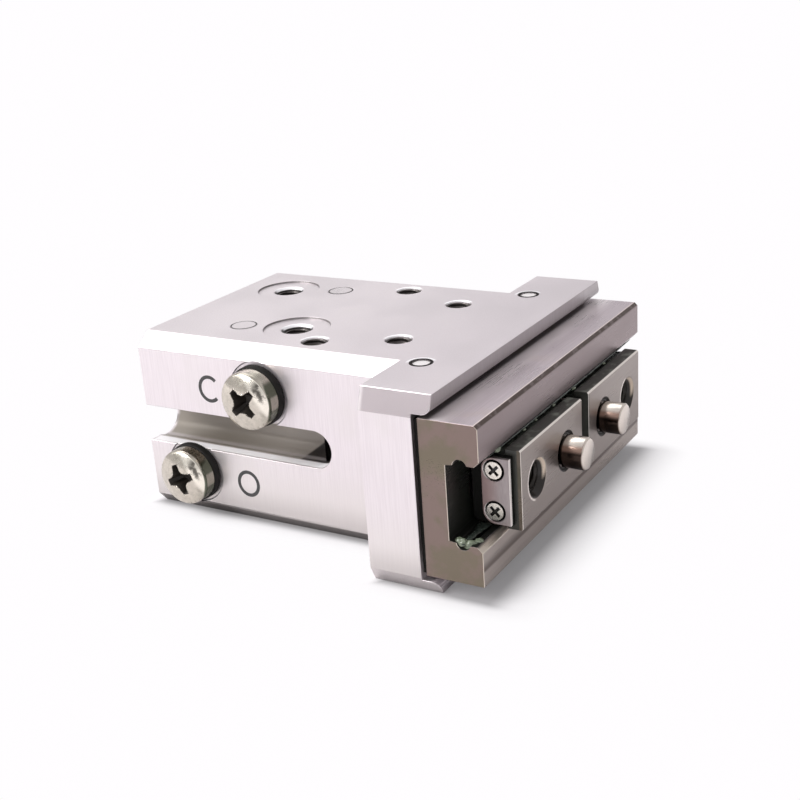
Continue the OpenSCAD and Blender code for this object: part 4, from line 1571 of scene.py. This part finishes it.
@dataclass
class PortPlug:
    """Pan-head plug screw of a side port, with its washer."""

    dresser: Dresser
    port: str
    cross_turn: float
    head_r: float = 2.8 * MM
    head_t: float = 2.1 * MM
    crown_r: float = 6.0 * MM
    shoulder_r: float = 3.05 * MM
    core_r: float = 1.25 * MM
    wing_half: float = 0.29 * MM
    wing_reach: float = 1.62 * MM
    wing_depth: float = 1.45 * MM
    middle: float = 0.56 * MM
    shank_chamfer: float = 0.2 * MM
    head_chamfer: float = 0.1 * MM
    rim_height: float = 0.6 * MM
    washer_soft: float = 0.22 * MM
    recess_edge: float = 0.05 * MM

    def build(self) -> None:
        """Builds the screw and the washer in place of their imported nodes."""
        self.screw()
        self.washer()

    def screw(self) -> None:
        """Domed head with a crossed recess, over a plain shank."""
        node = f"{self.port}_port_screw"
        low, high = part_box(node)
        middle = box_centre(node)
        shank = high.y - low.y - self.head_t
        tip, edge, r = self.shank_chamfer, self.head_chamfer, self.head_r
        profile = [(0.0, -shank), (self.core_r - tip, -shank), (self.core_r, -shank + tip)]
        profile += [(self.core_r, 0.0), (r - edge, 0.0), (r, edge)]
        profile += [(r, self.rim_height), (r, self.shoulder_z(r) - 0.02 * MM)]
        steps = 40
        for i in range(steps):
            radius = self.head_r * (1 - i / steps)
            profile.append((radius, min(self.crown_z(radius), self.shoulder_z(radius))))
        profile.append((0.0, self.head_t))
        piece = new_piece(f"{self.port}_plug_screw", turned(profile))
        piece.matrix_world = set_on((middle.x, low.y + self.head_t, middle.z), RIGHT)
        cutter = new_piece(f"{self.port}_recess", self.recess())
        turn = Matrix.Rotation(math.radians(self.cross_turn), 4, "Z")
        cutter.matrix_world = piece.matrix_world @ turn
        cut_away(piece, cutter)
        self.soften(piece)
        self.dresser.stand_in(piece, node, Slot.NICKEL)
        # The recess's faces take painted shade.
        piece.data.materials.append(self.dresser.workshop.get(PAINTED_RECESS_SHADE))
        for face in piece.data.polygons:
            x, y, height = face.center
            radius = math.hypot(x, y)
            sunk = self.crown_z(radius) - height
            if radius < self.wing_reach + 0.1 * MM and sunk > 0.05 * MM and height > 0.2 * MM:
                face.material_index = 1

    def crown_z(self, radius: float) -> float:
        """Height of the low crown at a radius."""
        return self.head_t - self.crown_r + math.sqrt(self.crown_r**2 - radius**2)

    def shoulder_z(self, radius: float) -> float:
        """Height of the round shoulder at a radius."""
        return math.sqrt(self.shoulder_r**2 - radius**2)

    def recess(self) -> bmesh.types.BMesh:
        """Crossed recess with tapered wings, wide at the top and small at its floor."""
        mesh = bmesh.new()
        levels = (
            (self.head_t - self.wing_depth, 0.5, 0.42),
            (self.head_t - self.wing_depth * 0.5, 0.85, 0.82),
            (self.head_t + 0.1 * MM, 1.08, 1.03),
        )
        rings = []
        for height, width, spread in levels:
            half, corner = self.wing_half * width, self.middle * width
            reach = self.wing_reach * spread
            shoulder = (corner * 1.5, max(half * 1.15, corner * 0.72))
            points = []
            for quarter in range(4):
                turn = Matrix.Rotation(quarter * math.pi / 2, 4, "Z")
                outline = [(shoulder[0], -shoulder[1]), (reach, -half), (reach, half), shoulder]
                for x, y in outline + [(corner, corner)]:
                    points.append(mesh.verts.new(turn @ Vector((x, y, height))))
            rings.append(points)
        mesh.faces.new(list(reversed(rings[0])))
        mesh.faces.new(rings[-1])
        for low, high in zip(rings, rings[1:]):
            for i in range(len(low)):
                j = (i + 1) % len(low)
                mesh.faces.new((low[i], low[j], high[j], high[i]))
        return mesh

    def soften(self, piece: bpy.types.Object) -> None:
        """Rounds the recess's edges a little."""
        bevel = piece.modifiers.new("edges", "BEVEL")
        bevel.width = self.recess_edge
        bevel.segments = 2
        bevel.limit_method = "ANGLE"
        bevel.angle_limit = math.radians(38)
        bevel.use_clamp_overlap = False

    def washer(self) -> None:
        """Rubber washer with a bulged rim."""
        node = f"{self.port}_port_washer"
        low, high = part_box(node)
        middle = box_centre(node)
        r, t = (high.x - low.x) / 2, high.y - low.y
        soft = self.washer_soft
        profile = [(self.core_r, 0.0)] + arc((r - soft, soft), soft, -90, 0, 6)
        profile += arc((r - soft, t - soft), soft, 0, 90, 6)
        profile += [(self.core_r, t), (self.core_r, 0.0)]
        piece = new_piece(f"{self.port}_washer_ring", turned(profile))
        piece.matrix_world = set_on((middle.x, high.y, middle.z), RIGHT)
        self.dresser.stand_in(piece, node, Slot.RUBBER)


# ---------------------------------------------------------------------- stage


WHITE_LIGHT = (1.0, 0.985, 1.0, 1.0)


@dataclass
class Studio:
    """Floor, lamps, world and camera."""

    azimuth: float = 31.548
    elevation: float = 20.323
    roll: float = -4.115
    distance: float = 125.8 * MM
    lens: float = 56.87
    shift: tuple[float, float] = (-1.004 * MM, -0.281 * MM)
    aim_x: float = -1.25 * MM
    floor_half: float = 4.0
    body_print: tuple[float, float, float] = (-21.7, 8.0, 12.0)
    head_print: tuple[float, float, float] = (8.0, 18.0, 17.8)
    shadow_ahead: float = 6.0
    shadow_aside: float = 2.8
    key_watts: float = 3.3
    top_watts: float = 0.88
    level: float = 0.55
    glossy_low: float = 0.62
    glossy_high: float = 1.22

    def build(self) -> None:
        """Builds the whole stage."""
        self.floor()
        self.world()
        self.lamp("key", (-0.34, -0.36, 0.40), (0.42, 0.36), self.key_watts)
        self.lamp("top", (-0.25, 0.20, 0.55), (0.60, 0.45), self.top_watts)
        self.camera()
        bpy.context.scene.view_settings.view_transform = "Standard"

    def floor(self) -> None:
        """Wide pale floor that keeps the object's shadow, darkened beneath and round the object's
        footprint by a painted contact shadow.
        """
        half = self.floor_half
        outline = [(-half, -half), (half, -half), (half, half), (-half, half)]
        mesh = bmesh.new()
        mesh.faces.new([mesh.verts.new((x, y, -0.02 * MM)) for x, y in outline])
        floor = new_piece("floor", mesh)
        material = bpy.data.materials.new("pale_floor")
        material.use_nodes = True
        graph = Graph(material.node_tree)
        glow = graph.add("ShaderNodeEmission", {}, {"Color": WHITE_LIGHT, "Strength": 1.0})
        path = graph.add("ShaderNodeLightPath", out="Is Camera Ray")
        body = self.reach(graph, *self.body_print)
        head = self.reach(graph, *self.head_print)
        near = graph.add("ShaderNodeMath", {"operation": "MINIMUM"}, {0: body, 1: head})
        share = path * graph.ramp(near, -0.35, 1.0)
        # Painted contact shadow: a dark floor colour beneath and round the footprint.
        painted_shade_under = graph.add("ShaderNodeBsdfDiffuse", {}, {"Color": (0.34, 0.33, 0.34, 1.0)})
        open_floor = graph.add("ShaderNodeBsdfDiffuse", {}, {"Color": (0.86, 0.84, 0.86, 1.0)})
        lit = graph.ramp(near, 0.0, 0.45)
        matt = graph.add("ShaderNodeMixShader", {}, {0: lit, 1: painted_shade_under, 2: open_floor})
        mixed = graph.add("ShaderNodeMixShader", {}, {0: share, 1: matt, 2: glow})
        graph.add("ShaderNodeOutputMaterial", {}, {"Surface": mixed})
        floor.data.materials.append(material)
        floor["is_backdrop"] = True

    def reach(self, graph: Graph, rear: float, front: float, half: float) -> Wire:
        """How far a floor point lies outside a footprint, in shadow widths.

        Args:
            graph: The floor's graph.
            rear: X of the footprint's rear edge in millimetres.
            front: X of its front edge.
            half: Half of its width along Y.

        Returns:
            0 inside, 1 where the shadow has gone.
        """
        x, y, _ = graph.place()
        ahead = (x - front).higher(0.0) * (1.0 / self.shadow_ahead)
        aside = (y.size() - half).higher(0.0).higher(rear - x) * (1.0 / self.shadow_aside)
        offset = graph.add("ShaderNodeCombineXYZ", {}, {0: ahead, 1: aside})
        return graph.add("ShaderNodeVectorMath", {"operation": "LENGTH"}, {0: offset}, "Value")

    def world(self) -> None:
        """White for camera and clear rays; pale, and brighter overhead, for glossy ones."""
        world = bpy.data.worlds.new("even_light")
        bpy.context.scene.world = world
        world.use_nodes = True
        graph = Graph(world.node_tree)
        camera = graph.add("ShaderNodeLightPath", out="Is Camera Ray")
        clear = graph.add("ShaderNodeLightPath", out="Is Transmission Ray")
        glossy = graph.add("ShaderNodeLightPath", out="Is Glossy Ray")
        seen = camera.higher(clear)
        x, _, z = graph.parts(graph.add("ShaderNodeTexCoord", out="Generated"))
        overhead = graph.ramp(z, 0.35, 0.75) * graph.ramp(x, -0.1, -0.42)
        plain, low, high, white = (
            graph.add("ShaderNodeBackground", {}, {"Color": WHITE_LIGHT, "Strength": level})
            for level in (self.level, self.glossy_low, self.glossy_high, 1.0)
        )
        sky = graph.add("ShaderNodeMixShader", {}, {0: overhead, 1: low, 2: high})
        light = graph.add("ShaderNodeMixShader", {}, {0: glossy, 1: plain, 2: sky})
        light = graph.add("ShaderNodeMixShader", {}, {0: seen, 1: light, 2: white})
        graph.add("ShaderNodeOutputWorld", {}, {"Surface": light})

    def lamp(
        self, name: str, place: tuple[float, float, float], size: tuple[float, float], level: float
    ) -> None:
        """A soft rectangular lamp aimed at the object.

        Args:
            name: The lamp's name.
            place: Where it hangs.
            size: Its two sides.
            level: Its power in watts.
        """
        data = bpy.data.lights.new(name, "AREA")
        data.shape = "RECTANGLE"
        data.size, data.size_y = size
        data.energy = level
        lamp = bpy.data.objects.new(name, data)
        lamp.matrix_world = Matrix.Translation(place) @ aim(Vector(place))
        bpy.context.scene.collection.objects.link(lamp)

    def camera(self) -> None:
        """Camera that looks down at the ports and the jaws."""
        a, e, r = (math.radians(v) for v in (self.azimuth, self.elevation, self.roll))
        back = Vector((math.sin(a) * math.cos(e), -math.cos(a) * math.cos(e), math.sin(e)))
        level = Vector((math.cos(a), math.sin(a), 0.0))
        rise = back.cross(level)
        right = math.cos(r) * level + math.sin(r) * rise
        up = -math.sin(r) * level + math.cos(r) * rise
        low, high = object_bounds()
        target = (low + high) / 2 + Vector((self.aim_x, 0.0, 0.0))
        place = target + back * self.distance - right * self.shift[0] - up * self.shift[1]
        data = bpy.data.cameras.new("camera")
        data.lens = self.lens
        data.sensor_width = 36.0
        data.clip_start, data.clip_end = 0.005, 20.0
        camera = bpy.data.objects.new("camera", data)
        turn = Matrix((right, up, back)).transposed().to_4x4()
        camera.matrix_world = Matrix.Translation(place) @ turn
        bpy.context.scene.collection.objects.link(camera)
        bpy.context.scene.camera = camera


def main() -> None:
    """Builds the dressed gripper in order."""
    logging.basicConfig(level=logging.INFO, format="%(name)s: %(message)s")
    for item in list(bpy.data.objects):
        bpy.data.objects.remove(item)
    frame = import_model()
    dresser = Dresser(frame, Workshop())
    parts = [
        Housing(dresser),
        Cylinder(dresser),
        Guide(dresser),
        Jaw(dresser, "left"),
        Jaw(dresser, "right"),
        PortPlug(dresser, "close", 45.0),
        PortPlug(dresser, "open", 20.0),
        Studio(),
    ]
    for part in parts:
        part.build()
        LOG.info("built %s", type(part).__name__)


if __name__ == "__main__":
    main()
